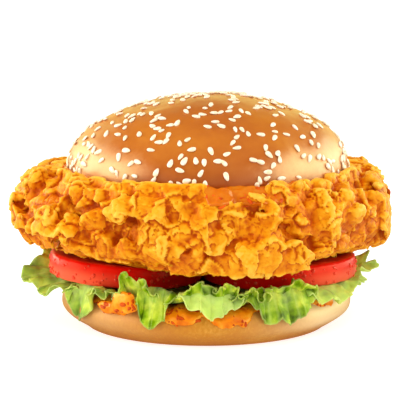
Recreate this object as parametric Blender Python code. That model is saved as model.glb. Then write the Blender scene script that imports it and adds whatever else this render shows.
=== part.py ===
"""Chicken burger: a sesame bun with a large crisp fried fillet, two tomato slices, torn lettuce and two spreads.

Every layer is one closed solid. The stack stands on the flat underside of the heel, whose centre is the origin.
+Z is up and the side of the burger that is meant to be looked at faces -Y. Angles are counted from +X towards +Y.
"""

import math

import bmesh
import bpy
from mathutils import Vector, noise

MM = 0.001
GAP = 0.3 * MM  # clearance between layers that rest on each other

# Heel, the bottom half of the bun
HEEL_FOOT_RADIUS = 44 * MM  # the flat that it stands on
HEEL_RADIUS = 51.5 * MM  # at its widest
HEEL_RIM_RADIUS = 47.5 * MM  # where the cut face begins
HEEL_WIDEST = 8 * MM
HEEL_HEIGHT = 13 * MM
HEEL_UNEVEN = 0.5 * MM

# Crown, the top half of the bun
CROWN_RIM_RADIUS = 45.5 * MM
CROWN_RADIUS = 50 * MM
CROWN_BASE = 51 * MM
CROWN_WIDEST = 56.5 * MM
CROWN_TOP = 82 * MM
CROWN_FULLNESS = 2.15  # 2 would be an ellipse, more is fuller
CROWN_LEAN = 3 * MM  # how far the top of the dome sits towards +X
CROWN_UNEVEN = 0.008  # share of the radius

# Lower spread, on the heel
LOWER_SAUCE_THICKNESS = 0.9 * MM
LOWER_SAUCE_RADIUS = 48.6 * MM
LOWER_SAUCE_UNEVEN = 1.5 * MM
SAUCE_ROUNDING = 1 * MM

# Lettuce
LEAF_THICKNESS = 0.8 * MM
LEAF_SIDE_GAP = 0.8 * MM
LEAF_INNER_RADIUS = 8 * MM
LEAF_FLAT_RADIUS = 44 * MM
LEAF_HANG = 6 * MM  # how far the edge hangs below the flat part between its raised ruffles
LEAF_HANG_RADIUS = HEEL_RADIUS + 3.4 * MM
LEAF_STEP = 2.5  # degrees

# Tomato slices
TOMATO_RADIUS = 27 * MM
TOMATO_THICKNESS = 8 * MM
TOMATO_EDGE = 1.6 * MM  # rounding of the skin edge
TOMATO_LOBES = 0.012  # share of the radius
TOMATO_CLEARANCE = 1.4 * MM  # to the lettuce that stands beside a slice

# Fillet
FILLET_HALF_LENGTH = 66 * MM
FILLET_HALF_WIDTH = 57.5 * MM
FILLET_FULLNESS = 2.3
FILLET_SHIFT = 1.3 * MM  # its middle lies this far towards -X
FILLET_MIDDLE = 39 * MM  # height of its widest part
FILLET_SEAT = 49.2 * MM  # floor of the dish that carries the crown
FILLET_SEAT_RADIUS = 52.2 * MM
FILLET_RIM = 54 * MM
FILLET_LUMP = 2.8 * MM
FILLET_LUMP_SIZE = 17 * MM
# The rings of its surface from the bottom up. Each has a share of the outline, and a height from the named level.
FILLET_UNDERSIDE = ((0.3, 0), (0.6, 0), (0.8, 0), (0.88, 0), (0.94, 2.2 * MM), (0.975, 5.5 * MM))  # the tomato
FILLET_SIDE = ((0.995, -4 * MM), (1.0, 1 * MM), (0.99, 5.5 * MM))  # FILLET_MIDDLE
FILLET_UPPER = ((0.965, -4.2 * MM), (0.93, -1.2 * MM), (0.89, 0))  # the crust's rim

# Upper spread, in the fillet's dish, with a thicker tongue that comes out at the front
UPPER_SAUCE_THICKNESS = 1.1 * MM
UPPER_SAUCE_LIP = 52.4 * MM  # height that it is squeezed up to between the crown and the crust
UPPER_SAUCE_CLEARANCE = 0.9 * MM  # to the side of the crown
TONGUE_ANGLE = 284  # degrees
TONGUE_WIDTH = 25  # degrees to either side
TONGUE_REACH = 2.4 * MM
TONGUE_RISE = 1.6 * MM

ROUND_STEPS = 52  # points around the bun and the spreads
FILLET_STEPS = 78
TOMATO_STEPS = 36

LOWER_SAUCE_BASE = HEEL_HEIGHT + GAP
LEAF_MIDDLE = LOWER_SAUCE_BASE + LOWER_SAUCE_THICKNESS + GAP + LEAF_THICKNESS / 2
UPPER_SAUCE_BASE = FILLET_SEAT + GAP

# Each slice: its centre in x and y, the height of its underside there, how much its outer end is raised, and the
# turn of its lobes
TOMATOES = {
    "tomato_left": (-29.4 * MM, -7.0 * MM, 17.5 * MM, math.radians(4.0), 0.0),
    "tomato_right": (26.1 * MM, -5.5 * MM, 16.9 * MM, math.radians(1.6), 2.1),
}

# Each leaf: the angles it spans in degrees, its number of ruffles and their phase, how far its raised edge reaches
# from the axis, and how high that edge stands above the flat part
LEAVES = {
    "lettuce_left": (142, 207, 2.4, 1.9, 65 * MM, 6.0 * MM),
    "lettuce_front_left": (207, 258, 2.0, 2.6, 57.5 * MM, 8.5 * MM),
    "lettuce_front": (258, 310, 2.0, 4.9, 57.5 * MM, 7.5 * MM),
    "lettuce_right": (310, 374, 2.2, 3.6, 62.5 * MM, 7.5 * MM),
    "lettuce_back_right": (14, 78, 2.6, 0.6, 60 * MM, 7.0 * MM),
    "lettuce_back_left": (78, 142, 2.6, 2.6, 60 * MM, 7.5 * MM),
}


def clear_scene():
    for old in list(bpy.data.objects):
        bpy.data.objects.remove(old, do_unlink=True)


def make_material(name, colour, roughness):
    made = bpy.data.materials.new(name)
    made.use_nodes = True
    shader = made.node_tree.nodes["Principled BSDF"]
    shader.inputs["Base Color"].default_value = (*colour, 1)
    shader.inputs["Roughness"].default_value = roughness
    shader.inputs["Metallic"].default_value = 0
    return made


def place(name, mesh, material):
    mesh.materials.append(material)
    mesh.shade_smooth()
    made = bpy.data.objects.new(name, mesh)
    bpy.context.scene.collection.objects.link(made)
    return made


def smooth(low, high, value):
    """0 below low, 1 above high, and an even curve between them."""
    share = min(1.0, max(0.0, (value - low) / (high - low)))
    return share * share * (3 - 2 * share)


def around(angle, detail, seed):
    """An uneven number from about -1 to 1 that closes on itself after a full turn."""
    return 1.6 * noise.noise((detail * math.cos(angle), detail * math.sin(angle), seed))


def bump(angle, middle, width):
    """1 at the middle angle, fading to 0 at width to either side. middle and width are in degrees."""
    away = (math.degrees(angle) - middle + 180) % 360 - 180
    return smooth(-width, 0, -abs(away))


def quarter(steps):
    """Angles from 0 to a quarter turn."""
    return [math.pi / 2 * k / steps for k in range(steps + 1)]


def at(radius, angle, height):
    return radius * math.cos(angle), radius * math.sin(angle), height


def finish(built, name):
    """Turns a bmesh into a mesh whose faces point outwards."""
    bmesh.ops.recalc_face_normals(built, faces=built.faces[:])
    mesh = bpy.data.meshes.new(name)
    built.to_mesh(mesh)
    built.free()
    return mesh


def loft(name, steps, rings):
    """A closed mesh through rings, from the bottom up. A ring is a function of the angle to (radius, height)."""
    built = bmesh.new()
    loops = []
    for ring in rings:
        angles = [2 * math.pi * k / steps for k in range(steps)]
        spots = [(ring(angle)[0], angle, ring(angle)[1]) for angle in angles]
        loops.append([built.verts.new(at(*spot)) for spot in spots])
    for low, high in zip(loops, loops[1:]):
        for k in range(steps):
            after = (k + 1) % steps
            built.faces.new((low[k], low[after], high[after], high[k]))
    for loop in (loops[0], loops[-1]):
        end = built.faces.new(loop)
        bmesh.ops.poke(built, faces=[end])
    return finish(built, name)


def heel(material):
    """The bottom bun: a flat foot, a side that bulges out, and the cut face on top."""

    def ring(radius, height, unevenness):
        return lambda angle: (radius + unevenness * around(angle, 1.3, 4.0), height)

    rings = []
    for turn in quarter(4):
        radius = HEEL_FOOT_RADIUS + (HEEL_RADIUS - HEEL_FOOT_RADIUS) * math.sin(turn)
        height = HEEL_WIDEST * (1 - math.cos(turn))
        rings.append(ring(radius, height, HEEL_UNEVEN * math.sin(turn)))
    for turn in quarter(3)[1:]:
        radius = HEEL_RIM_RADIUS + (HEEL_RADIUS - HEEL_RIM_RADIUS) * math.cos(turn)
        height = HEEL_WIDEST + (HEEL_HEIGHT - HEEL_WIDEST) * math.sin(turn)
        rings.append(ring(radius, height, HEEL_UNEVEN * math.cos(turn)))
    return place("bun_heel", loft("bun_heel", ROUND_STEPS, rings), material)


def crown(material):
    """The top bun: a flat cut face, an edge that rolls under, and a dome a little fuller than an ellipse."""

    def ring(radius, height, unevenness):
        return lambda angle: (radius * (1 + unevenness * around(angle, 1.1, 9.0)), height)

    rings = []
    for turn in quarter(4):
        radius = CROWN_RIM_RADIUS + (CROWN_RADIUS - CROWN_RIM_RADIUS) * math.sin(turn)
        height = CROWN_BASE + (CROWN_WIDEST - CROWN_BASE) * (1 - math.cos(turn))
        rings.append(ring(radius, height, CROWN_UNEVEN * math.sin(turn)))
    for turn in quarter(10)[1:-1]:
        radius = CROWN_RADIUS * math.cos(turn) ** (2 / CROWN_FULLNESS)
        height = CROWN_WIDEST + (CROWN_TOP - CROWN_WIDEST) * math.sin(turn)
        rings.append(ring(radius, height, CROWN_UNEVEN))
    mesh = loft("bun_crown", ROUND_STEPS, rings)
    top = max(mesh.vertices, key=lambda v: v.co.z)
    top.co.z = CROWN_TOP
    for v in mesh.vertices:
        v.co.x += CROWN_LEAN * smooth(CROWN_WIDEST, CROWN_TOP, v.co.z)
    return place("bun_crown", mesh, material)


def lower_sauce(material):
    """A thin spread on the heel, with an uneven edge just past the cut face."""

    def edge(angle):
        return LOWER_SAUCE_RADIUS + LOWER_SAUCE_UNEVEN * around(angle, 2.6, 2.0)

    base = LOWER_SAUCE_BASE
    top = base + LOWER_SAUCE_THICKNESS
    rings = [
        lambda angle: (edge(angle) - SAUCE_ROUNDING, base),
        lambda angle: (edge(angle), (base + top) / 2),
        lambda angle: (edge(angle) - SAUCE_ROUNDING, top),
    ]
    return place("sauce_lower", loft("sauce_lower", ROUND_STEPS, rings), material)


def seat_radius(angle):
    """Edge of the dish in the fillet, which is wider where the tongue of sauce comes out."""
    uneven = 0.6 * MM * around(angle, 2.2, 7.0)
    return FILLET_SEAT_RADIUS + uneven + TONGUE_REACH * bump(angle, TONGUE_ANGLE, TONGUE_WIDTH)


def sauce_lip(angle):
    """Height that the squeezed-out sauce reaches between the crown and the crust."""
    uneven = 0.6 * MM * around(angle, 2.4, 12.0)
    return UPPER_SAUCE_LIP + uneven + TONGUE_RISE * bump(angle, TONGUE_ANGLE, TONGUE_WIDTH)


def upper_sauce(material):
    """A spread in the fillet's dish, with a thicker rim squeezed out past the edge of the crown."""
    base = UPPER_SAUCE_BASE
    inside = CROWN_RADIUS + UPPER_SAUCE_CLEARANCE

    def outside(angle):
        return seat_radius(angle) - GAP

    rings = [
        lambda angle: (outside(angle) - 2 * SAUCE_ROUNDING, base),
        lambda angle: (outside(angle), base + 0.8 * SAUCE_ROUNDING),
        lambda angle: (outside(angle), sauce_lip(angle) - 0.5 * SAUCE_ROUNDING),
        lambda angle: ((inside + outside(angle)) / 2, sauce_lip(angle)),
        lambda angle: (inside, sauce_lip(angle) - 0.7 * SAUCE_ROUNDING),
        lambda angle: (CROWN_RIM_RADIUS + 2.2 * MM, base + UPPER_SAUCE_THICKNESS),
    ]
    return place("sauce_upper", loft("sauce_upper", ROUND_STEPS, rings), material)


def tomato(name, material):
    """One slice: a rounded, slightly lobed disc, lying with its outer end a little higher."""
    x, y, underside, slope, lobe_turn = TOMATOES[name]

    def outline(angle):
        five = math.cos(5 * angle + lobe_turn)
        three = math.cos(3 * angle)
        return TOMATO_RADIUS * (1 + TOMATO_LOBES * (five + three / 2))

    def ring(inset, height):
        return lambda angle: (outline(angle) - inset, height)

    rings = []
    for turn in quarter(3):
        rings.append(ring(TOMATO_EDGE * (1 - math.sin(turn)), TOMATO_EDGE * (1 - math.cos(turn))))
    for turn in quarter(3):
        height = TOMATO_THICKNESS - TOMATO_EDGE * (1 - math.sin(turn))
        rings.append(ring(TOMATO_EDGE * (1 - math.cos(turn)), height))
    made = place(name, loft(name, TOMATO_STEPS, rings), material)
    made.location = (x, y, underside)
    made.rotation_euler = (0, slope if x < 0 else -slope, 0)
    return made


def tomato_top(x):
    """Height of the higher of the two slices' top faces at x, each carried on as a plane."""
    tops = []
    for centre, _, underside, slope, _ in TOMATOES.values():
        outward = centre - x if centre < 0 else x - centre
        tops.append(underside + TOMATO_THICKNESS / math.cos(slope) + outward * math.tan(slope))
    return max(tops)


def fillet_outline(angle):
    """The fillet seen from above: longer than wide, and uneven."""
    across = abs(math.cos(angle) / FILLET_HALF_LENGTH) ** FILLET_FULLNESS
    deep = abs(math.sin(angle) / FILLET_HALF_WIDTH) ** FILLET_FULLNESS
    oval = (across + deep) ** (-1 / FILLET_FULLNESS) - FILLET_SHIFT * math.cos(angle)
    return oval + 1.4 * MM * around(angle, 1.9, 3.3) + 0.8 * MM * math.cos(5 * angle + 0.6)


def fillet_rim(angle):
    """Height of the crust around the crown: highest at the two ends, lowest at the tongue of sauce."""
    ends = 2.4 * MM * bump(angle, 178, 28) + 1.6 * MM * bump(angle, 4, 34)
    front = 1.0 * MM * bump(angle, TONGUE_ANGLE, TONGUE_WIDTH)
    return FILLET_RIM + ends - front + 0.6 * MM * around(angle, 3.0, 6.0)


def lumpy(mesh, first, last):
    """Pushes the points from first to last in and out, to rounded lumps with creases between them."""
    mesh.update()
    moves = {}
    for v in mesh.vertices:
        if first <= v.index < last:
            spot = v.co / FILLET_LUMP_SIZE
            crease = abs(noise.noise(spot + Vector((0, 0, 5.2))))
            lump = 0.4 - 2.4 * crease + 0.6 * noise.noise(spot * 2.3)
            strength = FILLET_LUMP * smooth(-0.2, 1, (v.index - first) / FILLET_STEPS)
            moves[v.index] = v.normal * strength * lump
    for index, move in moves.items():
        mesh.vertices[index].co += move


def fillet(material):
    """The fried fillet: an underside that lies on the tomato, a lumpy side, a raised rim, and a dish on top."""

    def ring(share, height):
        return lambda angle: (share * fillet_outline(angle), height)

    def upper(share, height):
        return lambda angle: (share * fillet_outline(angle), fillet_rim(angle) + height)

    def edge(angle):
        height = min(fillet_rim(angle) - 0.8 * MM, sauce_lip(angle) + 0.4 * MM)
        return seat_radius(angle) + 1.2 * MM, height

    rings = [ring(share, lift) for share, lift in FILLET_UNDERSIDE]
    rings += [ring(share, FILLET_MIDDLE + away) for share, away in FILLET_SIDE]
    rings += [upper(share, away) for share, away in FILLET_UPPER]
    rings += [
        edge,
        lambda angle: (seat_radius(angle), FILLET_SEAT + 0.6 * MM),
        lambda angle: (seat_radius(angle) - 1.5 * MM, FILLET_SEAT),
        lambda angle: (FILLET_SEAT_RADIUS / 2, FILLET_SEAT),
    ]
    mesh = loft("chicken_fillet", FILLET_STEPS, rings)

    # The underside was made flat at the origin's height, and now follows the two slices
    for v in mesh.vertices:
        if v.co.z < FILLET_UNDERSIDE[-1][1] + GAP:
            v.co.z += tomato_top(v.co.x) + GAP
    flat_rings = sum(1 for _, lift in FILLET_UNDERSIDE if lift == 0)
    side_rings = len(FILLET_UNDERSIDE) + len(FILLET_SIDE) + len(FILLET_UPPER)
    lumpy(mesh, first=flat_rings * FILLET_STEPS, last=side_rings * FILLET_STEPS)
    return place("chicken_fillet", mesh, material)


def tomato_reach(angle):
    """How far from the axis the slices reach in this direction."""
    reach = 0.0
    for x, y, *_ in TOMATOES.values():
        along = x * math.cos(angle) + y * math.sin(angle)
        aside = x * x + y * y - along * along
        radius = TOMATO_RADIUS * (1 + 2 * TOMATO_LOBES)
        if aside < radius * radius:
            reach = max(reach, along + math.sqrt(radius * radius - aside))
    return reach


def leaf_row(angle, rising, rim_radius, rim_height):
    """A leaf's points from its middle out, as (radius, height). The edge hangs at rising 0 and stands at 1."""
    hanging_bend = HEEL_RADIUS + 0.2 * MM
    standing_bend = max(HEEL_RIM_RADIUS + 1 * MM, tomato_reach(angle) + TOMATO_CLEARANCE)
    bend = hanging_bend + (standing_bend - hanging_bend) * rising
    row = [(LEAF_INNER_RADIUS, LEAF_MIDDLE), (LEAF_FLAT_RADIUS, LEAF_MIDDLE), (bend, LEAF_MIDDLE)]
    for share in (0.35, 0.7, 1):
        height = LEAF_MIDDLE + (rim_height - LEAF_MIDDLE) * share**1.3
        row.append((bend + (rim_radius - bend) * share, height))
    return row


def leaf(name, material):
    """One torn leaf, flat under the tomato, with a ruffled edge that hangs over the heel and stands up by turns."""
    start, end, ruffles, phase, reach, lift = LEAVES[name]
    steps = round((end - start) / LEAF_STEP)
    built = bmesh.new()
    rows = []
    for k in range(steps + 1):
        along = k / steps
        turn = 2 * math.pi * ruffles * along + phase
        rising = 0.5 + 0.5 * math.sin(math.pi / 2 * math.sin(turn))
        rim_radius = LEAF_HANG_RADIUS + (reach - LEAF_HANG_RADIUS) * rising
        rim_height = LEAF_MIDDLE - LEAF_HANG + (lift + LEAF_HANG) * rising + 0.8 * MM * math.sin(2.3 * turn)
        middle = math.radians(start + (end - start) * along)
        points = []
        for radius, height in leaf_row(middle, rising, rim_radius, rim_height):
            inset = LEAF_SIDE_GAP / radius
            angle = math.radians(start) + inset + (math.radians(end - start) - 2 * inset) * along
            points.append(built.verts.new(at(radius, angle, height)))
        rows.append(points)
    for here, there in zip(rows, rows[1:]):
        for k in range(len(here) - 1):
            built.faces.new((here[k], here[k + 1], there[k + 1], there[k]))
    made = place(name, finish(built, name), material)
    thick = made.modifiers.new("thickness", "SOLIDIFY")
    thick.thickness = LEAF_THICKNESS
    thick.offset = 0
    return made


def build():
    clear_scene()
    crust = make_material("bun_crust", (0.62, 0.29, 0.09), 0.38)
    base = make_material("bun_base", (0.74, 0.45, 0.19), 0.6)
    batter = make_material("fried_batter", (0.82, 0.38, 0.05), 0.5)
    flesh = make_material("tomato_skin", (0.68, 0.03, 0.02), 0.25)
    green = make_material("lettuce_green", (0.34, 0.50, 0.08), 0.45)
    sauce = make_material("chilli_sauce", (0.86, 0.33, 0.04), 0.3)
    heel(base)
    lower_sauce(sauce)
    for name in LEAVES:
        leaf(name, green)
    for name in TOMATOES:
        tomato(name, flesh)
    fillet(batter)
    upper_sauce(sauce)
    crown(crust)


build()
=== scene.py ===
"""Looks of the chicken burger.

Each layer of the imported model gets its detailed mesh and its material. A floor, lights and a camera follow.
"""

import math

import bmesh
import bpy
import numpy as np
from mathutils import Matrix, Vector, noise
from mathutils.bvhtree import BVHTree


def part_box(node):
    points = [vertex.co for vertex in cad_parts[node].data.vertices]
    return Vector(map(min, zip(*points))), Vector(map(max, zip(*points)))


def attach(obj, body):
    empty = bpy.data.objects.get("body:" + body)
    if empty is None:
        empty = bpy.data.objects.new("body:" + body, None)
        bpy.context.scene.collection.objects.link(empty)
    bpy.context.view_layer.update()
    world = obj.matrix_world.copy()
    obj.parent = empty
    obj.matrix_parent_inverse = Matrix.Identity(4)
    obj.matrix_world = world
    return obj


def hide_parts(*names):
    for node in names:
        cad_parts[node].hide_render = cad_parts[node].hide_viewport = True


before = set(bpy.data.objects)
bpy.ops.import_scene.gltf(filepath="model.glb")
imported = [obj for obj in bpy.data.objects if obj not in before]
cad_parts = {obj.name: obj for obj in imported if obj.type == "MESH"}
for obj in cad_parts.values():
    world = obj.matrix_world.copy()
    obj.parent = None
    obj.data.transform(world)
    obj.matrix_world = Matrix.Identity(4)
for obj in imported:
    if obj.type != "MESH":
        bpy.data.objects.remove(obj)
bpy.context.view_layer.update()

MM = 0.001
UP = Vector((0, 0, 1))
NOISE_GAIN = 1.6  # brings Blender's noise, which seldom passes 0.6, to about -1 to 1


# ---------------------------------------------------------------- small helpers


def smooth(low, high, value):
    """0 up to low, 1 from high on, and an even curve between them. low may be the larger one."""
    share = np.clip((value - low) / (high - low), 0, 1)
    return share * share * (3 - 2 * share)


def around(angle, detail, seed):
    """An uneven number from about -1 to 1 that closes on itself after a full turn."""
    return NOISE_GAIN * noise.noise((detail * math.cos(angle), detail * math.sin(angle), seed))


def apart(angle, other):
    """How far two angles in degrees are from each other, with a sign."""
    return (angle - other + 180) % 360 - 180


def polar(points):
    """Each point's angle round the Z axis and its distance from it."""
    return np.arctan2(points[:, 1], points[:, 0]), np.hypot(points[:, 0], points[:, 1])


def walked(path):
    """The length of a path of points up to each of them, starting at 0."""
    return np.concatenate([[0], np.cumsum(np.linalg.norm(np.diff(path, axis=0), axis=1))])


def read(elements, field, kind, columns):
    """One field of all elements of a mesh, as an array of rows."""
    flat = np.empty(len(elements) * columns, dtype=kind)
    elements.foreach_get(field, flat)
    return flat.reshape(-1, columns)


def points_of(mesh):
    return read(mesh.vertices, "co", np.float32, 3).astype(float)


def normals_of(mesh):
    return read(mesh.vertex_normals, "vector", np.float32, 3).astype(float)


def edges_of(mesh):
    return read(mesh.edges, "vertices", np.int32, 2)


def faces_of(mesh):
    return [tuple(face.vertices) for face in mesh.polygons]


def face_table(mesh):
    """The middle, the normal and the area of each face."""
    columns = [(face.center, face.normal, face.area) for face in mesh.polygons]
    return (np.array(column) for column in zip(*columns))


def tree_of(points, faces):
    return BVHTree.FromPolygons([Vector(p) for p in points], faces)


def set_points(mesh, points):
    mesh.vertices.foreach_set("co", points.astype(np.float32).ravel())
    mesh.update()


def swell(mesh, points, relief):
    """Moves the points out along the mesh's normals, each by its relief in metres."""
    points += normals_of(mesh) * relief[:, None]
    set_points(mesh, points)


def mesh_of(name, points, faces):
    mesh = bpy.data.meshes.new(name)
    mesh.from_pydata([tuple(p) for p in points], [], faces)
    mesh.validate()
    mesh.update()
    return mesh


def quads(rows, columns, rows_close=False, columns_close=False):
    """Faces between the points of a grid that is stored row by row, and may close on itself either way."""
    faces = []
    for r in range(rows if rows_close else rows - 1):
        here = r * columns
        there = (r + 1) % rows * columns
        for c in range(columns if columns_close else columns - 1):
            d = (c + 1) % columns
            faces.append((here + c, there + c, there + d, here + d))
    return faces


def in_scene(name, data, **settings):
    """A new object in the scene that holds a mesh, a lamp or a camera."""
    made = bpy.data.objects.new(name, data)
    for key, value in settings.items():
        setattr(made, key, value)
    bpy.context.scene.collection.objects.link(made)
    return made


def add_object(name, mesh, material):
    mesh.materials.clear()
    mesh.materials.append(material)
    mesh.shade_smooth()
    return in_scene(name, mesh)


def add_piece(name, mesh, material, slot, *nodes):
    """Puts a finished piece on the burger's one body, and hides the CAD nodes that it stands for."""
    piece = add_object(name, mesh, material)
    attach(piece, "root")
    if nodes:
        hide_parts(*nodes)
    return piece


def with_modifier(mesh, kind, **settings):
    """The mesh after one modifier."""
    holder = in_scene("holder", mesh)
    modifier = holder.modifiers.new("only", kind)
    for key, value in settings.items():
        setattr(modifier, key, value)
    ready = holder.evaluated_get(bpy.context.evaluated_depsgraph_get())
    made = bpy.data.meshes.new_from_object(ready)
    bpy.data.objects.remove(holder)
    return made


def remesh(mesh, voxel):
    return with_modifier(mesh, "REMESH", mode="VOXEL", voxel_size=voxel, adaptivity=0.0)


def relax(points, edges, rounds):
    """The points after each has moved halfway to the middle of its neighbours, so many rounds over."""
    count = len(points)
    near = np.bincount(edges.ravel(), minlength=count)[:, None].clip(1)
    moved = points.copy()
    for _ in range(rounds):
        total = np.zeros_like(moved)
        for axis in range(3):
            for here, there in (edges.T, edges.T[::-1]):
                total[:, axis] += np.bincount(here, weights=moved[there, axis], minlength=count)
        moved += 0.5 * (total / near - moved)
    return moved


def largest_island(mesh):
    """The mesh without its loose crumbs: only its largest connected part."""
    label = np.arange(len(mesh.vertices))
    edges = edges_of(mesh)
    while True:
        low = np.minimum(label[edges[:, 0]], label[edges[:, 1]])
        before = label.copy()
        np.minimum.at(label, edges[:, 0], low)
        np.minimum.at(label, edges[:, 1], low)
        label = label[label]
        if (label == before).all():
            break
    largest = np.bincount(label).argmax()
    work = bmesh.new()
    work.from_mesh(mesh)
    loose = [v for v, mark in zip(work.verts, label) if mark != largest]
    bmesh.ops.delete(work, geom=loose, context="VERTS")
    work.to_mesh(mesh)
    work.free()
    return mesh


def paint(mesh, **layers):
    """Stores numbers for each point, for the material to read by name."""
    for name, values in layers.items():
        layer = mesh.attributes.new(name, "FLOAT", "POINT")
        layer.data.foreach_set("value", values.astype(np.float32))


def picks(draw, count, weights):
    """Random places in a list, each as likely as its weight says."""
    return draw.choice(len(weights), count, p=weights / weights.sum())


def level_direction(angle):
    """The level direction at an angle in radians."""
    return Vector((math.cos(angle), math.sin(angle), 0))


def clouds(points, size, seed):
    """Smooth noise from about -1 to 1, with features about size across."""
    shift = Vector((seed, seed * 0.7, -seed))
    return np.array([noise.noise(Vector(p) / size + shift) for p in points]) * NOISE_GAIN


def warp(points, size, amount, seed):
    """The points pushed about, so that what is made from them looks kneaded."""
    pushes = [clouds(points, size, seed + 11 * k) for k in range(3)]
    return points + amount * np.stack(pushes, 1)


# ---------------------------------------------------------------- materials


def hex_colour(code):
    """A display colour such as f2a13c as linear red, green, blue and an alpha of 1."""
    shades = [int(code[k : k + 2], 16) / 255 for k in (0, 2, 4)]
    return (*(s / 12.92 if s <= 0.04045 else ((s + 0.055) / 1.055) ** 2.4 for s in shades), 1)


class Material:
    """A Principled material whose node tree is built by short calls.

    An input takes a socket, a value or a hex colour.
    """

    def __init__(self, name, **inputs):
        self.made = bpy.data.materials.new(name)
        self.made.use_nodes = True
        self.tree = self.made.node_tree
        self.shader = self.tree.nodes["Principled BSDF"]
        self.surface(**inputs)

    def feed(self, target, value):
        if isinstance(value, bpy.types.NodeSocket):
            self.tree.links.new(value, target)
        else:
            target.default_value = hex_colour(value) if isinstance(value, str) else value

    def surface(self, **inputs):
        """Feeds inputs of the shader, such as Base_Color."""
        for key, value in inputs.items():
            self.feed(self.shader.inputs[key.replace("_", " ")], value)

    def node(self, kind, inputs, **settings):
        made = self.tree.nodes.new(kind)
        for key, value in settings.items():
            setattr(made, key, value)
        for key, value in inputs.items():
            self.feed(made.inputs[key], value)
        return made

    def place(self):
        """Object coordinates, which are metres here."""
        return self.node("ShaderNodeTexCoord", {}).outputs["Object"]

    def stored(self, name):
        return self.node("ShaderNodeAttribute", {}, attribute_name=name).outputs["Fac"]

    def stretch(self, source, scale):
        return self.node("ShaderNodeMapping", {"Vector": source, "Scale": scale}).outputs["Vector"]

    def noise(self, size, detail=2.0, source=None, roughness=0.5):
        """Cloudy noise whose features are about size across, in metres."""
        inputs = {"Scale": 1 / size, "Detail": detail, "Roughness": roughness}
        inputs["Vector"] = source or self.place()
        return self.node("ShaderNodeTexNoise", inputs).outputs["Fac"]

    def distort(self, source, size, amount):
        """The coordinates pushed about by a noise of the given size, in metres."""
        cloud = self.node("ShaderNodeTexNoise", {"Scale": 1 / size, "Vector": source}).outputs["Color"]
        inputs = {0: cloud, 1: (amount, amount, amount), 2: source}
        return self.node("ShaderNodeVectorMath", inputs, operation="MULTIPLY_ADD").outputs[0]

    def cells(self, size, source):
        """How far each place is from the middle of its uneven cell."""
        return self.node("ShaderNodeTexVoronoi", {"Scale": 1 / size, "Vector": source}).outputs["Distance"]

    def between(self, source, low, high, to_low, to_high):
        """source, carried over from the range low to high and kept inside it."""
        inputs = {"Value": source, "From Min": low, "From Max": high, "To Min": to_low, "To Max": to_high}
        return self.node("ShaderNodeMapRange", inputs).outputs["Result"]

    def sway(self, source, low, high):
        """A noise carried over from the values that it mostly has to the range low to high."""
        return self.between(source, 0.3, 0.7, low, high)

    def ramp(self, source, *stops):
        """Colours at places from 0 to 1, as (place, hex colour)."""
        made = self.node("ShaderNodeValToRGB", {"Fac": source})
        band = made.color_ramp.elements
        for k, (spot, code) in enumerate(stops):
            stop = band[k] if k < 2 else band.new(spot)
            stop.position = spot
            stop.color = hex_colour(code)
        return made.outputs["Color"]

    def mix(self, share, first, second):
        """The first colour where share is 0 and the second where it is 1."""
        return self.node("ShaderNodeMix", {0: share, 6: first, 7: second}, data_type="RGBA").outputs[2]

    def maths(self, operation, first, second=0.0):
        return self.node("ShaderNodeMath", {0: first, 1: second}, operation=operation).outputs[0]

    def add(self, first, *others):
        for other in others:
            first = self.maths("ADD", first, other)
        return first

    def lines(self, source):
        """How far a noise is from its middle value, which is 0 along winding lines."""
        return self.maths("ABSOLUTE", self.maths("SUBTRACT", source, 0.5))

    def bump(self, source, height, strength):
        """Relief of the given height in metres. Further calls add to it."""
        inputs = {"Height": source, "Distance": height, "Strength": strength}
        before = self.shader.inputs["Normal"]
        if before.is_linked:
            inputs["Normal"] = before.links[0].from_socket
        self.surface(Normal=self.node("ShaderNodeBump", inputs).outputs["Normal"])


# ---------------------------------------------------------------- fried fillet

CRUST_VOXEL = 0.62 * MM
CRUST_INSET = 1.2 * MM  # how far the meat lies inside the CAD solid, to leave room for the crust
CRUST_OVERHANG = 1.8 * MM  # how far the crust may reach past the CAD's outline
CRUST_SOFTNESS = 2.5 * MM  # range over which what is past the outline is pressed back
LEVEL_SOFTNESS = 1.2 * MM  # the same for heights
CRUST_TRIANGLES = 190_000
CRUST_TOP = 56.2 * MM  # parts of the crust higher than this are pressed down
CRUST_BACK_TOP = 54.8 * MM
CRUST_RIM_ROOT = 50.5 * MM  # height from which the flakes round the crown stand up
CRUST_SHOULDER = 45 * MM  # above it the crust ends at the crown's seat, and below it at the flat underside
SCATTERED_LOBES = 230
LOBE_SINK = 0.8  # mm by which a front lobe's root is set out of the surface, and a scattered one's into it
COLLAR_LEVEL = 51.0 * MM
COLLAR_DIP = 2.5 * MM  # how much lower the collar is behind the sauce's tongue
SAUCE_TONGUE = (267, 297)  # degrees between which the upper sauce shows instead of the rim's flakes

LOBE_RUFFLE = 0.4 * MM  # height of the waves in a lobe
LOBE_OUTLINE = 3.2  # power of a lobe's outline: 2 is an ellipse, more is squarer
LOBE_SIDE = 6  # powers by which a lobe thins out towards its sides and its ends: more is a blunter edge
LOBE_END = 12
NEARLY_LEVEL = 0.05  # length of what is left of a direction on a surface that it is nearly square to
FLAT_SHARE = 0.70  # share of the outline up to which the fillet's underside is flat
FLAKE_LEAN = 0.35  # how much more often a flake's free edge points down than up
FLAKE_GROOVE = 0.10  # width of the line between two flakes, as a share of their size

# Lowest visible edge of the crust: angle in degrees and height in mm. The front follows the photo.
LOWER_EDGE = [
    (0, 27.5), (14, 30), (45, 30.5), (90, 29), (135, 30.5), (180, 31.2), (194, 31.2), (208, 31.8),
    (228, 32.2), (240, 30.8), (250, 28.6), (258, 26.2), (270, 25.8), (281, 27), (290, 25.8), (300, 26.2),
    (308, 29.6), (322, 32.2), (332, 32), (340, 30), (349, 27.5), (360, 27.5),
]

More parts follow.
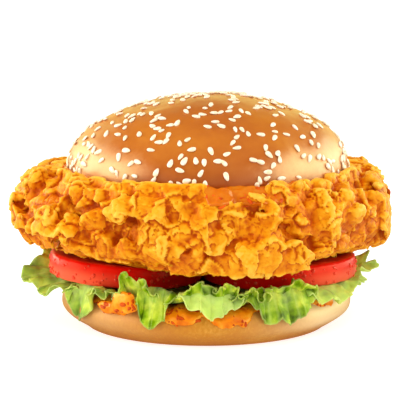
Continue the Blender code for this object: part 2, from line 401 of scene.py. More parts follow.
# Flakes and lumps that show at the front, roughly from left to right. Each: x and z in mm of its root, turn
# in degrees (0 hangs down, 90 points right), width, length and thickness in mm before the three factors
# below, slope in degrees at its root and at its tip, and cup.
FRONT_LOBES = [
    (-66, 45, -5, 12, 15, 5, 15, -35, 0.25),
    (-61, 53, -60, 9, 12, 3.5, 5, -20, 0.2),
    (-58, 55, -30, 8, 8, 3.5, 15, -20, 0.2),
    (-52, 46.5, 2, 9, 17, 4.5, 14, -22, 0.45),
    (-52, 57, 40, 9, 14, 2.6, 5, -8, 0.25),
    (-49, 54.5, 35, 10, 15, 2.6, 12, -8, 0.3),
    (-44, 44.5, -8, 8.5, 12, 1.8, 28, 5, 0.9),
    (-44, 36, 15, 9, 9, 3, 12, -20, 0.3),
    (-41, 54, 25, 8, 9, 2.6, 15, -10, 0.3),
    (-34, 51, -65, 8.5, 13, 2.0, 25, 4, 0.6),
    (-35, 41, 5, 9, 10, 3, 14, -15, 0.3),
    (-30, 55, 10, 8, 9, 3.2, 20, -20, 0.3),
    (-27, 50, -40, 7, 8, 2.4, 20, 0, 0.5),
    (-28, 38, 20, 10, 10, 3, 12, -15, 0.3),
    (-22, 46, 35, 11, 19, 2.6, 16, 2, 0.5),
    (-21, 53, -5, 8, 10, 2.6, 22, -5, 0.4),
    (-13, 52, 0, 9, 9, 3.2, 24, -20, 0.3),
    (-16, 48, 4, 11, 11, 3.2, 16, -14, 0.2),
    (-19, 43.5, 180, 13, 9, 4, 10, -10, 0.1),
    (-14, 43, 10, 9, 9, 2.4, 20, 0, 0.4),
    (-15, 36, 40, 9, 11, 2.4, 16, 4, 0.5),
    (-6, 49, -20, 7, 8, 2.6, 20, -10, 0.3),
    (-4, 40, 4, 9.5, 11.5, 2.0, 32, 6, 0.95),
    (0, 43, 10, 7, 7, 3.2, 20, -20, 0.3),
    (-17, 53.5, 118, 6, 11, 1.6, 8, -4, 0.3),
    (5, 49.5, 0, 16, 7, 3.4, 18, -25, 0.2),
    (7, 44, -30, 8, 12, 2.2, 26, 4, 0.6),
    (4, 35, 0, 9, 8, 3, 18, -15, 0.4),
    (12, 46, 18, 7, 10, 2.2, 26, 8, 0.6),
    (19, 50.5, 0, 10, 6, 3.2, 26, -20, 0.35),
    (19, 47, 4, 10.5, 6, 2.8, 26, -20, 0.35),
    (20, 43, 0, 11, 7, 2.8, 28, -12, 0.35),
    (14, 37, 14, 9, 12, 2.6, 24, 2, 0.6),
    (23, 37, -8, 11, 12, 2.8, 24, 0, 0.6),
    (25, 52, 10, 8, 6, 3.2, 30, -20, 0.3),
    (27, 48, 8, 9, 10, 3.2, 26, -18, 0.4),
    (31, 37, 4, 10, 9, 3.4, 20, -15, 0.35),
    (34, 55, 4, 7.5, 18, 4, 24, -28, 0.4),
    (38, 38, 0, 9, 8, 3, 20, -15, 0.35),
    (41, 53, 35, 7, 12, 3, 20, -15, 0.35),
    (42, 44, 42, 7.5, 11, 2.2, 24, 2, 0.6),
    (47, 38, -28, 6.5, 9, 2.2, 26, -5, 0.6),
    (48, 56, 10, 13, 11, 4.4, 14, -25, 0.2),
    (50, 48, 0, 9, 10, 3.2, 20, -18, 0.3),
    (57, 51, 8, 11, 14, 4, 16, -28, 0.25),
    (61, 45, 0, 12, 14, 4, 14, -30, 0.3),
    (58, 43, 0, 13, 14, 6, 12, -22, 0.1),
    (62, 41, -6, 12, 13, 6, 12, -20, 0.1),
    (57, 58, 90, 9, 10, 2.4, 8, 0, 0.2),
    (57, 40, 18, 11, 10, 3, 10, -15, 0.3),
]
LOBE_BROADER = 1.15
LOBE_LONGER = 1.12
LOBE_THICKER = 1.9


def lobe(width, length, thickness, lift, curl, cup, wave, phase, across=8, along=10):
    """A flake or lump of batter that grows from its root along +Y and stands up to +Z.

    lift and curl are the slopes in degrees of its middle line at the root and at the tip. cup bends it
    across, and wave, in metres, ruffles it.
    """
    middle = np.zeros((along + 1, 2))
    slopes = np.radians(lift + (curl - lift) * np.linspace(0, 1, along + 1))
    steps = length / along * np.stack([np.cos(slopes), np.sin(slopes)], 1)
    middle[1:] = np.cumsum((steps[1:] + steps[:-1]) / 2, axis=0)
    t = np.linspace(0, 1, along + 1)[:, None]
    s = np.linspace(-1, 1, across + 1)[None, :]
    from_middle = np.abs(2 * t - 1)
    outline = np.sqrt(np.clip(1 - from_middle**LOBE_OUTLINE, 0, 1)) * (1 + 0.13 * np.sin(7 * t + phase))
    half = width / 2 * outline
    body = np.clip(1 - np.abs(s) ** LOBE_SIDE, 0, 1) ** 0.5 * np.clip(1 - from_middle**LOBE_END, 0, 1) ** 0.5
    rise = -cup * half * s**2 + wave * np.sin(2.2 * math.pi * s * half / (width / 2) + phase) * t
    tilt_y = -np.sin(slopes)[:, None]
    tilt_z = np.cos(slopes)[:, None]
    layers = []
    for side in (-1, 1):
        level = rise + side * thickness / 2 * body
        x = half * s * np.cos(cup * s * 0.6)
        y = middle[:, 0][:, None] + tilt_y * level
        z = middle[:, 1][:, None] + tilt_z * level
        layers.append(np.stack([x + 0 * y, y, z + 0 * x], -1).reshape(-1, 3))
    row = across + 1
    size = row * (along + 1)
    faces = []
    for a, b, c, d in quads(along + 1, row):
        faces += [(a, b, c, d), (size + a, size + d, size + c, size + b)]
    rim = list(range(across)) + [j * row + across for j in range(along)]
    rim += [along * row + k for k in range(across, 0, -1)] + [j * row for j in range(along, 0, -1)]
    for here, there in zip(rim, rim[1:] + rim[:1]):
        faces.append((here, there, size + there, size + here))
    return np.concatenate(layers), faces


def stand_on(points, spot, normal, turn):
    """Puts a lobe's root on a spot of a surface.

    At turn 0 it grows downwards and at 90 to the right, seen from outside. A surface that is nearly level has
    no such direction, and there it grows the way that the surface leans, or else to the front.
    """
    out = normal.normalized()
    down = -(UP - out * UP.dot(out))
    if down.length < NEARLY_LEVEL:
        aside = Vector((out.x, out.y, 0))
        down = aside if aside.length > NEARLY_LEVEL else Vector((0, -1, 0))
    down = (down - out * down.dot(out)).normalized()
    grow = Matrix.Rotation(math.radians(turn), 3, out) @ down
    side = grow.cross(out)
    axes = np.array([side, grow, out])
    return points @ axes + np.array(spot)


class Heap:
    """Many small meshes gathered into one."""

    def __init__(self):
        self.points = []
        self.faces = []
        self.count = 0

    def add(self, points, faces):
        self.faces += [tuple(k + self.count for k in face) for face in faces]
        self.points.append(points)
        self.count += len(points)

    def stand(self, shape, spot, normal, turn):
        """Adds a lobe, given as its points and faces, with its root on a spot of a surface."""
        self.add(stand_on(shape[0], spot, normal, turn), shape[1])

    def mesh(self, name):
        return mesh_of(name, np.concatenate(self.points), self.faces)


def flakes(points, size, slope, step, groove, seed):
    """Relief in metres of flakes that lie on each other like shingles.

    The space is split into uneven cells about size across. In each cell the surface is a tilted flake of the
    given slope, whose free edge mostly points down. Flakes differ in level by step, and groove deepens the
    line between two.
    """
    shift = Vector((seed, -seed * 1.7, seed * 0.6))
    heights = np.empty(len(points))
    for k, p in enumerate(points):
        place = Vector(p) / size + shift
        far, spots = noise.voronoi(place)
        middle = spots[0]
        chance = noise.cell_vector(middle)
        tilt = Vector((chance.x - 0.5, chance.y - 0.5, chance.z - 0.5 - FLAKE_LEAN))
        tilt.normalize()
        level = noise.cell(middle + Vector((31.7, 11.3, 5.1))) - 0.5
        rise = slope * size * (place - middle).dot(tilt) + 2 * step * level
        heights[k] = rise - groove * math.exp(-((far[1] - far[0]) / FLAKE_GROOVE) ** 2)
    return heights


def billows(points, size, seed):
    """Rounded lumps with sharp creases between them, from 0 in the creases to about 1."""
    shift = Vector((-seed, seed * 0.3, seed * 1.9))
    return np.array([abs(noise.noise(Vector(p) / size + shift)) for p in points]) * 2.2


def above(tree, points):
    """How far each point lies outside the surface in the tree, in metres, and negative inside it."""
    reach = np.empty(len(points))
    for k, p in enumerate(points):
        spot, normal, *_ = tree.find_nearest(Vector(p))
        reach[k] = (Vector(p) - spot).dot(normal)
    return reach


def crust_share(points, outline, start=0.80):
    """1 on the outside of the fillet, 0 on its seat for the crown and on the flat underside.

    start is the share of the outline at which the underside begins to be crusted.
    """
    angle, radius = polar(points)
    under = smooth(start, start + 0.12, radius / outline(angle))
    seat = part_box("bun_crown")[1].x
    over = smooth(seat + 0.5 * MM, seat + 4 * MM, radius)
    return np.where(points[:, 2] > CRUST_SHOULDER, over, under)


def outline_of(mesh):
    """The fillet's outline seen from above, as a function of the angle."""
    angles, radii = polar(points_of(mesh))
    edges = np.linspace(-math.pi, math.pi, 61)
    middles = (edges[1:] + edges[:-1]) / 2
    reach = [radii[(angles >= a) & (angles < b)].max() for a, b in zip(edges, edges[1:])]
    return lambda angle: np.interp(angle, middles, reach, period=2 * math.pi)


def underside_of(mesh, outline):
    """The height of the fillet's underside, as a function of the angle and of the share of the outline."""
    tree = tree_of(points_of(mesh), faces_of(mesh))
    angles = np.linspace(-math.pi, math.pi, 121)
    shares = np.linspace(FLAT_SHARE, 0.98, 8)
    heights = np.zeros((len(shares), len(angles)))
    for row, share in enumerate(shares):
        for column, angle in enumerate(angles):
            hit = None
            reach = share * outline(angle)
            while hit is None:
                below = Vector((reach * math.cos(angle), reach * math.sin(angle), -0.01))
                hit = tree.ray_cast(below, UP)[0]
                reach *= 0.98
            heights[row, column] = hit.z
    heights = np.maximum.accumulate(heights, axis=0)

    def height(angle, share):
        levels = np.stack([np.interp(angle, angles, row) for row in heights])
        place = np.clip((share - shares[0]) / (shares[1] - shares[0]), 0, len(shares) - 1.001)
        first = place.astype(int)
        part = place - first
        columns = np.arange(len(angle))
        return levels[first, columns] * (1 - part) + levels[first + 1, columns] * part

    return height


def excess(over, soft):
    """How far to move back what is over a limit, so that it ends inside the soft range past the limit."""
    over = np.maximum(over, 0)
    return over - soft * np.tanh(over / soft)


def kept_inside(points, outline, underside):
    """The points, pressed back where they are past the outline, the lower edge or the top."""
    angle, radius = polar(points)
    height = points[:, 2]

    # The side is drawn in at the crown's seat and at the foot, and at the foot more on the left
    left = smooth(20 * MM, -40 * MM, points[:, 0])
    drawn_in = 7 * MM * smooth(47 * MM, 57 * MM, height)
    drawn_in += (3 + 5 * left) * MM * (1 - smooth(26 * MM, (34 + 4 * left) * MM, height))
    free = outline(angle) + CRUST_OVERHANG - CRUST_SOFTNESS - drawn_in
    pressed = radius - excess(radius - free, CRUST_SOFTNESS)
    moved = points.copy()
    moved[:, :2] *= (pressed / np.maximum(radius, 1e-6))[:, None]

    # The floor is the flat underside, which runs down to the lower edge and up again past it
    share = pressed / outline(angle)
    degrees, edge = np.array(LOWER_EDGE).T
    edge = np.interp(np.degrees(angle) % 360, degrees, edge) * MM
    flat = underside(angle, np.full(len(angle), FLAT_SHARE))
    floor = flat + (edge - flat) * smooth(0.62, 0.92, share) + 3 * MM * smooth(0.92, 1.08, share)
    floor += 1.1 * MM * clouds(moved * np.array([1, 1, 0]), 5 * MM, 14.0) * smooth(0.70, 0.85, share)
    below = (floor + LEVEL_SOFTNESS / 2 - moved[:, 2]) * (share > 0.60)
    moved[:, 2] += excess(below, LEVEL_SOFTNESS)
    top = CRUST_BACK_TOP + (CRUST_TOP - CRUST_BACK_TOP) * smooth(-5 * MM, -20 * MM, moved[:, 1])
    moved[:, 2] -= excess(moved[:, 2] - top, LEVEL_SOFTNESS)
    return moved


def tube(steps, ring, section):
    """A closed ring round the Z axis.

    section(angle) gives the radius and the height of its middle, its half width and its half height.
    """
    points = []
    for angle in (2 * math.pi * i / steps for i in range(steps)):
        radius, level, wide, tall = section(angle)
        for turn in (2 * math.pi * k / ring for k in range(ring)):
            r = radius + wide * math.cos(turn)
            points.append((r * math.cos(angle), r * math.sin(angle), level + tall * math.sin(turn)))
    return np.array(points), quads(steps, ring, rows_close=True, columns_close=True)


def collar(seat):
    """An uneven roll of batter round the crown's seat, which closes the gaps below the flakes of the rim."""

    def section(angle):
        thick = (2.5 + 0.7 * around(angle, 7.0, 6.0)) * MM
        dip = COLLAR_DIP if SAUCE_TONGUE[0] < math.degrees(angle) < SAUCE_TONGUE[1] else 0.0
        return seat + 3.4 * MM, COLLAR_LEVEL - dip, thick, 1.1 * thick

    return tube(180, 12, section)


def front_lobes(heap, tree):
    """Adds the lobes that show at the front, each rooted where a line from the front meets the fillet."""
    for x, z, turn, width, length, thickness, lift, curl, cup in FRONT_LOBES:
        spot, normal, *_ = tree.ray_cast(Vector((x * MM, -0.1, z * MM)), Vector((0, 1, 0)))
        if spot is None:
            spot, normal, *_ = tree.find_nearest(Vector((x * MM, -2 * MM, z * MM)))
        sizes = LOBE_BROADER * width * MM, LOBE_LONGER * length * MM, LOBE_THICKER * thickness * MM
        shape = lobe(*sizes, lift, curl, cup, LOBE_RUFFLE, x)
        heap.stand(shape, spot + normal * LOBE_SINK * MM, normal, turn)


def rim_lobes(heap, seat, draw):
    """Adds upright flakes round the crown's seat, apart from where the sauce's tongue shows."""
    for degrees in np.arange(2, 362, 8.5):
        if SAUCE_TONGUE[0] < degrees < SAUCE_TONGUE[1]:
            continue
        angle = math.radians(degrees + draw.uniform(-1.5, 1.5))
        out = level_direction(angle)
        root = out * (seat + draw.uniform(2.2, 3.6) * MM) + Vector((0, 0, CRUST_RIM_ROOT))
        shape = lobe(
            draw.uniform(8, 11) * MM, draw.uniform(6.5, 8.5) * MM, draw.uniform(2.8, 3.8) * MM,
            draw.uniform(0, 8), draw.uniform(-20, -8), 0.25, 0.5 * MM, draw.uniform(0, 6),
        )
        heap.stand(shape, root, out, 180 + draw.normal(0, 14))


def scattered_lobes(heap, points, faces, outline, draw):
    """Adds lumps all over the crusted part of a surface, and fewer of them at the front."""
    corners = np.array([face[:3] for face in faces])
    middles = points[corners].mean(1)
    weights = crust_share(middles, outline)
    weights *= np.where(weights > 0.3, 1, 0)
    weights *= np.where((middles[:, 1] < -10 * MM) & (middles[:, 2] < 54 * MM), 0.2, 1)
    for index in picks(draw, SCATTERED_LOBES, weights):
        a, b, c = points[corners[index]]
        normal = Vector(np.cross(b - a, c - a)).normalized()
        size = draw.uniform(9, 15) * MM
        shape = lobe(
            size, size * draw.uniform(0.8, 1.3), size * draw.uniform(0.34, 0.48),
            draw.uniform(2, 16), draw.uniform(-30, -4), draw.uniform(0.0, 0.3),
            LOBE_RUFFLE, draw.uniform(0, 6),
        )
        heap.stand(shape, Vector(middles[index]) - normal * LOBE_SINK * MM, normal, draw.normal(0, 50))


def batter_skin(mesh, outline, plain):
    """Gives the crust its fine flakes, and stores how high and how creased each point is, which the material
    turns into painted shade in hollows and creases and painted light on raised parts.
    """
    edges = edges_of(mesh)
    points = relax(points_of(mesh), edges, 3)
    set_points(mesh, points)
    share = crust_share(points, outline, 0.66)
    kneaded = warp(points, 2.5 * MM, 0.8 * MM, 8.0)
    broad = warp(points, 5 * MM, 1.8 * MM, 12.0)
    bumps = flakes(broad, size=8.0 * MM, slope=0.16, step=0.20 * MM, groove=0.10 * MM, seed=9.0)
    bumps += flakes(kneaded, size=3.2 * MM, slope=0.10, step=0.12 * MM, groove=0.08 * MM, seed=17.0)
    bumps += 0.34 * MM * billows(kneaded, 5.5 * MM, 2.0) + 0.12 * MM * billows(kneaded, 2.0 * MM, 6.0)
    swell(mesh, points, share * bumps)
    normals = normals_of(mesh)

    # How far each point stands out of its wider and its nearer surroundings, and out of the plain fillet. The
    # material paints shade from these where points lie low or in creases, and paints light where they stand
    # out.
    depth = ((points - relax(points, edges, 30)) * normals).sum(1)
    edge = ((points - relax(points, edges, 4)) * normals).sum(1)
    stand = np.clip((above(plain, points) - 1.4 * MM) / (9 * MM), -0.25, 0.25)
    height = np.clip(0.50 + 0.6 * stand + depth / (3.2 * MM) + edge / (1.7 * MM), 0, 1)
    paint(mesh, height=height, crease=np.clip(-edge / (0.22 * MM), 0, 1))


def crust(material):
    """The fillet in its craggy fried batter."""
    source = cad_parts["chicken_fillet"].data.copy()
    outline = outline_of(source)
    underside = underside_of(source, outline)
    core = remesh(source, 1.0 * MM)
    points = points_of(core)
    faces = faces_of(core)
    plain = tree_of(points, faces)
    kneaded = warp(warp(points, 9 * MM, 3.2 * MM, 3.0), 3.5 * MM, 0.8 * MM, 5.0)
    relief = flakes(kneaded, size=12 * MM, slope=0.18, step=0.6 * MM, groove=0.3 * MM, seed=4.0)
    relief += 2.6 * MM * (billows(kneaded, 13 * MM, 9.0) - 0.3)
    relief += 3.5 * MM * (billows(kneaded, 26 * MM, 22.0) - 0.5)
    swell(core, points, crust_share(points, outline) * (relief - CRUST_INSET))

    heap = Heap()
    heap.add(points, faces)
    smoothed = relax(points, edges_of(core), 6)
    front_lobes(heap, tree_of(smoothed, faces))
    draw = np.random.default_rng(11)
    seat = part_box("bun_crown")[1].y
    rim_lobes(heap, seat, draw)
    heap.add(*collar(seat))
    scattered_lobes(heap, smoothed, faces, outline, draw)

    gathered = heap.mesh("crust_parts")
    points = points_of(gathered)
    bent = warp(warp(points, 10 * MM, 1.6 * MM, 20.0), 3.2 * MM, 0.12 * MM, 24.0)
    points += (bent - points) * crust_share(points, outline)[:, None]
    set_points(gathered, kept_inside(points, outline, underside))
    made = largest_island(remesh(gathered, CRUST_VOXEL))
    batter_skin(made, outline, plain)
    share = min(1.0, CRUST_TRIANGLES / (2 * len(made.polygons)))
    made = with_modifier(made, "DECIMATE", ratio=share)
    add_piece("fried_fillet", made, material, "fried_batter", "chicken_fillet")


def batter_material():
    m = Material(
        "fried_batter", Roughness=0.48, IOR=1.45, Specular_Tint=(1.0, 0.72, 0.3, 1), Specular_IOR_Level=0.3,
        Subsurface_Weight=0.08, Subsurface_Scale=0.002, Subsurface_Radius=(1.0, 0.5, 0.08),
    )
    patch = m.noise(12 * MM, 3.0, roughness=0.6)
    fine = m.noise(1.5 * MM, 3.0, roughness=0.6)
    # Painted shade and light: the ramp darkens low, hollow points and lightens raised ones, from the stored
    # height.
    level = m.add(m.stored("height"), m.sway(fine, -0.06, 0.06), m.sway(patch, -0.10, 0.10))
    shaded_golden = m.ramp(
        level, (0.0, "a43800"), (0.28, "cc6402"), (0.50, "dc8406"), (0.70, "eca01a"), (0.95, "f6b43c")
    )
    # Painted shade along the creases between flakes.
    crease = m.between(m.stored("crease"), 0.2, 1.0, 0.0, 0.75)
    m.surface(Base_Color=m.mix(crease, shaded_golden, "b44000"))
    m.bump(fine, 0.6 * MM, 0.4)
    wrinkle = m.noise(2.2 * MM, 3.0, m.distort(m.place(), 4 * MM, 2 * MM), roughness=0.55)
    m.bump(m.lines(wrinkle), 0.8 * MM, 0.4)
    m.bump(m.noise(0.6 * MM), 0.3 * MM, 0.5)
    return m.made


# ---------------------------------------------------------------- bun

CROWN_FULLNESS = 2.0  # power of the dome's outline: 2 is an ellipse, more is squarer
CROWN_DROP = 1.0 * MM  # the dome's top lies this far below the CAD's
CROWN_SLIMMER = 0.6 * MM
CROWN_SHIFT = 0.7 * MM  # towards +X
CROWN_LEAN = 1.3 * MM  # how much further the dome's top is shifted
CROWN_RIM = 48.0 * MM  # radius at the crown's underside
CROWN_WIDEST = 56.5 * MM  # height at which the crown is widest
SEED_COUNT = 380
SEED_TRIES = 6000
SEED_SPACE = 2.0 * MM  # least distance between the middles of two seeds
SEED_LENGTHS = (2.6, 3.3)  # mm
SEED_CLUMPS = 0.33  # share of the seeds that start a clump
HEEL_FOOT = 43.3 * MM  # radius of the foot
HEEL_SLANT = 2.6  # power of the heel's side profile: 1 is a round edge, more is a slanted one
HEEL_RIM = 47.5 * MM  # radius of the cut face
HEEL_WIDEST = 8 * MM  # height at which the heel is widest
# Paler patches round the heel's side. The two at the front, strongest on the right, are painted light that
# stands in for the side lamps; the two at the back only make the crust paler there.
HEEL_PALE = [(325, 26, 1.0), (222, 26, 0.3), (60, 25, 0.7), (150, 20, 0.7)]  # angle, half width, strength


def lathe(profile, steps):
    """Points and faces of a closed turned body.

    profile is rows of (radius, height) from the middle of the bottom to the middle of the top.
    """
    angles = np.linspace(0, 2 * math.pi, steps, endpoint=False)
    inner = profile[1:-1]
    rings = [np.stack([r * np.cos(angles), r * np.sin(angles), np.full(steps, z)], 1) for r, z in inner]
    points = np.concatenate(rings + [[[0, 0, profile[0][1]]], [[0, 0, profile[-1][1]]]])
    bottom = len(points) - 2
    top = len(points) - 1
    last = bottom - steps
    faces = [(a, d, c, b) for a, b, c, d in quads(len(inner), steps, columns_close=True)]
    for i in range(steps):
        j = (i + 1) % steps
        faces.append((bottom, j, i))
        faces.append((top, last + i, last + j))
    return points, faces


def crown_profile(radius, base, top):
    """Rows of (radius, height) along the crown's underside, round its lower edge and up to its top."""
    rows = [(0.0, base), (radius * 0.45, base), (radius * 0.8, base)]
    for t in np.linspace(0, math.pi / 2, 14):
        r = CROWN_RIM + (radius - CROWN_RIM) * math.sin(t)
        rows.append((r, base + (CROWN_WIDEST - base) * (1 - math.cos(t))))
    for t in np.linspace(0, math.pi / 2, 76)[1:-1]:
        r = radius * math.cos(t) ** (2 / CROWN_FULLNESS)
        rows.append((r, CROWN_WIDEST + (top - CROWN_WIDEST) * math.sin(t)))
    return rows + [(0.0, top)]


def crown(material):
    """The top bun: a smooth dome with faint dimples, and a paler band towards its lower edge on the left and
    right flanks, which is painted sheen where the side lamps' highlights fall.
    """
    low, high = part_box("bun_crown")
    radius = (high.y - low.y) / 2 - CROWN_SLIMMER
    points, faces = lathe(crown_profile(radius, low.z, high.z - CROWN_DROP), 220)
    angle, _ = polar(points)
    uneven = np.array([around(a, 1.1, 9.0) for a in angle])
    lift = smooth(low.z, CROWN_WIDEST, points[:, 2])
    points[:, :2] *= (1 + 0.006 * uneven * lift)[:, None]
    points[:, 0] += CROWN_SHIFT + CROWN_LEAN * smooth(CROWN_WIDEST, high.z, points[:, 2])
    mesh = mesh_of("bun_crown_top", points, faces)
    dimples = 0.45 * MM * clouds(points, 17 * MM, 2.0) + 0.10 * MM * clouds(points, 5 * MM, 4.0)
    swell(mesh, points, dimples * lift)
    # Painted sheen: a pale band low on the left and right flanks, where the side lamps' highlights fall.
    band = smooth(69 * MM, 60 * MM, points[:, 2]) * smooth(50 * MM, 54 * MM, points[:, 2])
    x = points[:, 0] + 3 * MM * clouds(points, 14 * MM, 7.0)
    sheen_flanks = smooth(12 * MM, 32 * MM, x) + smooth(-16 * MM, -34 * MM, x)
    paint(mesh, level=(points[:, 2] - low.z) / (high.z - low.z), pale=band * sheen_flanks)
    return add_piece("bun_crown_top", mesh, material, "bun_crown_crust", "bun_crown")


def crown_material():
    m = Material("bun_crown_crust", IOR=1.75, Specular_Tint=(1.0, 0.88, 0.6, 1))
    speckle = m.noise(2.2 * MM, 4.0, roughness=0.65)
    tone = m.add(m.sway(m.noise(30 * MM, 3.0), 0.1, 0.8), m.sway(speckle, -0.08, 0.08))
    brown = m.ramp(tone, (0.0, "a84c00"), (0.5, "ba6404"), (1.0, "cc7e0c"))
    # Painted shade: darker towards the crown's lower edge, which the light from above hardly reaches.
    brown = m.mix(m.between(m.stored("level"), 0.0, 0.6, 0.9, 0.0), brown, "902e00")
    # Painted sheen: the pale band on the flanks, with speckle, mixed towards a pale tan.
    sheen_and_speckle = m.add(m.stored("pale"), m.sway(speckle, -0.12, 0.12))
    m.surface(Base_Color=m.mix(m.between(sheen_and_speckle, 0.1, 1.1, 0.0, 0.6), brown, "f0b878"))
    m.surface(Roughness=m.sway(speckle, 0.36, 0.46))
    m.bump(m.noise(0.9 * MM, 3.0), 0.05 * MM, 0.5)
    m.bump(m.noise(4 * MM), 0.2 * MM, 0.35)
    return m.made


def seed_shape():
    """One sesame seed, 1 long, lying along X, pointed at its +X end."""
    profile = [(0.0, -0.5)]
    for t in np.linspace(0, math.pi, 10)[1:-1]:
        x = -math.cos(t) / 2
        profile.append((0.34 * math.sin(t) ** 0.85 * (1 - 0.42 * (x + 0.5)), x))
    points, faces = lathe(profile + [(0.0, 0.5)], 10)
    return points[:, [2, 0, 1]] * np.array([1, 1, 0.58]), faces


def sesame(bun, material):
    """Sesame seeds, loosely scattered over the dome, many of them in clumps of two to four."""
    tree = BVHTree.FromObject(bun, bpy.context.evaluated_depsgraph_get())
    draw = np.random.default_rng(5)
    shape, faces = seed_shape()
    heap = Heap()
    laid = []
    centre = Vector((0, 0, CROWN_WIDEST - 3 * MM))

    def lay(direction, turn, raised):
        """Lays a seed where the direction meets the dome, if there is room, and says whether it did."""
        spot, normal, *_ = tree.ray_cast(centre, direction)
        if spot is None or spot.z < CROWN_WIDEST - 2.5 * MM:
            return False
        if any((spot - other).length < SEED_SPACE for other in laid):
            return False
        laid.append(spot)
        length = draw.uniform(*SEED_LENGTHS) * MM
        along = Matrix.Rotation(turn, 3, normal) @ normal.orthogonal().normalized()
        tip = Matrix.Rotation(draw.normal(0, 0.12), 3, normal.cross(along)) @ along
        up = tip.cross(normal.cross(tip)).normalized()
        axes = np.array([tip, up.cross(tip), up])
        size = np.array([1, draw.uniform(0.9, 1.15), 1.0]) * length
        heap.add((shape * size) @ axes + np.array(spot + normal * (raised + 0.18 * length * 0.5)), faces)
        return True

    tries = 0
    while len(laid) < SEED_COUNT and tries < SEED_TRIES:
        tries += 1
        height = 0.05 + 0.95 * draw.random() ** 1.5
        angle = draw.uniform(0, 2 * math.pi)
        flat = math.sqrt(1 - height**2)
        direction = Vector((flat * math.cos(angle), flat * math.sin(angle), height))
        if not lay(direction, draw.uniform(0, 2 * math.pi), 0):
            continue
        if draw.random() < SEED_CLUMPS:
            for _ in range(draw.integers(1, 4)):
                near = direction + Vector(draw.normal(0, 0.055, 3))
                lay(near.normalized(), draw.uniform(0, 2 * math.pi), draw.uniform(0, 0.2) * MM)
    add_piece("sesame_seeds", heap.mesh("sesame_seeds"), material, "sesame_seed")


def seed_material():
    m = Material("sesame_seed", Roughness=0.45, Subsurface_Weight=0.1, Subsurface_Scale=0.001)
    m.surface(Base_Color=m.ramp(m.noise(1.4 * MM), (0.3, "f0d9ae"), (0.7, "fbf0d8")))
    return m.made


def heel_shoulder(turn, radius, top):
    """Radius and height on the heel's round upper side, which ends at the cut face at a quarter turn."""
    return HEEL_RIM + (radius - HEEL_RIM) * math.cos(turn), HEEL_WIDEST + (top - HEEL_WIDEST) * math.sin(turn)


def heel(material):
    """The bottom bun: flat foot, bulging side, and the cut face on top."""
    low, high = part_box("bun_heel")
    radius = (high.x - low.x) / 2
    rows = [(0.0, low.z), (HEEL_FOOT * 0.5, low.z), (HEEL_FOOT * 0.9, low.z)]
    for t in np.linspace(0, math.pi / 2, 22):
        r = HEEL_FOOT + (radius - HEEL_FOOT) * math.sin(t) ** HEEL_SLANT
        rows.append((r, HEEL_WIDEST * (1 - math.cos(t))))
    rows += [heel_shoulder(t, radius, high.z) for t in np.linspace(0, math.pi / 2, 14)[1:]]
    rows += [(HEEL_RIM * 0.8, high.z), (HEEL_RIM * 0.4, high.z), (0.0, high.z)]
    points, faces = lathe(rows, 240)
    angle, _ = polar(points)
    uneven = np.array([around(a, 1.3, 4.0) + 0.5 * around(a, 4.0, 1.0) for a in angle])
    side = np.sin(np.pi * np.clip(points[:, 2] / high.z, 0, 1))
    points[:, :2] *= (1 + 0.007 * uneven * side)[:, None]
    mesh = mesh_of("bun_heel_base", points, faces)
    swell(mesh, points, 0.25 * MM * clouds(points, 9 * MM, 6.0) * side)
    level = points[:, 2] / high.z
    degrees = np.degrees(angle)
    pale = [strength * np.exp(-((apart(degrees, at) / half) ** 2)) for at, half, strength in HEEL_PALE]
    paint(mesh, level=level, pale=np.max(pale, axis=0) * smooth(0.1, 0.5, level))
    add_piece("bun_heel_base", mesh, material, "bun_heel_crust", "bun_heel")


def heel_material():
    m = Material("bun_heel_crust", Roughness=0.5, Specular_Tint=(1.0, 0.8, 0.5, 1))
    grain = m.noise(1.0 * MM, 4.0, m.stretch(m.place(), (1, 1, 0.55)), roughness=0.7)
    tone = m.add(m.sway(m.noise(16 * MM, 3.0), 0.1, 0.6), m.sway(grain, -0.22, 0.3))
    tan = m.ramp(tone, (0.0, "be6a06"), (0.5, "c87e10"), (1.0, "dea03c"))
    # Paler where the stored patches are: painted light at the front, paler crust at the back.
    tan = m.mix(m.maths("MULTIPLY", m.stored("pale"), 0.8), tan, "f4d29a")
    foot = m.between(m.stored("level"), 0.0, 0.16, 0.45, 0.0)
    m.surface(Base_Color=m.mix(foot, tan, "b5611a"))
    m.surface(Specular_IOR_Level=m.between(m.stored("level"), 0.96, 1.0, 0.5, 0.0))
    m.bump(grain, 0.22 * MM, 0.5)
    m.bump(m.noise(0.7 * MM), 0.08 * MM, 0.5)
    return m.made


# ---------------------------------------------------------------- tomato

TOMATO_SLOPES = {"tomato_left": math.radians(4.0), "tomato_right": math.radians(1.6)}
TOMATO_LOBE_TURNS = {"tomato_left": 0.0, "tomato_right": 2.1}
TOMATO_RADIUS = 27 * MM
TOMATO_THICKNESS = 8 * MM
TOMATO_EDGE = 1.6 * MM
TOMATO_CHAMBERS = 5
DROPS_ON_SLICE = 200
DROP_RADII = (0.3, 0.5)  # mm, and those of the larger drops
LARGE_DROP_RADII = (0.5, 0.8)
LARGE_DROPS = 0.25  # share of the drops


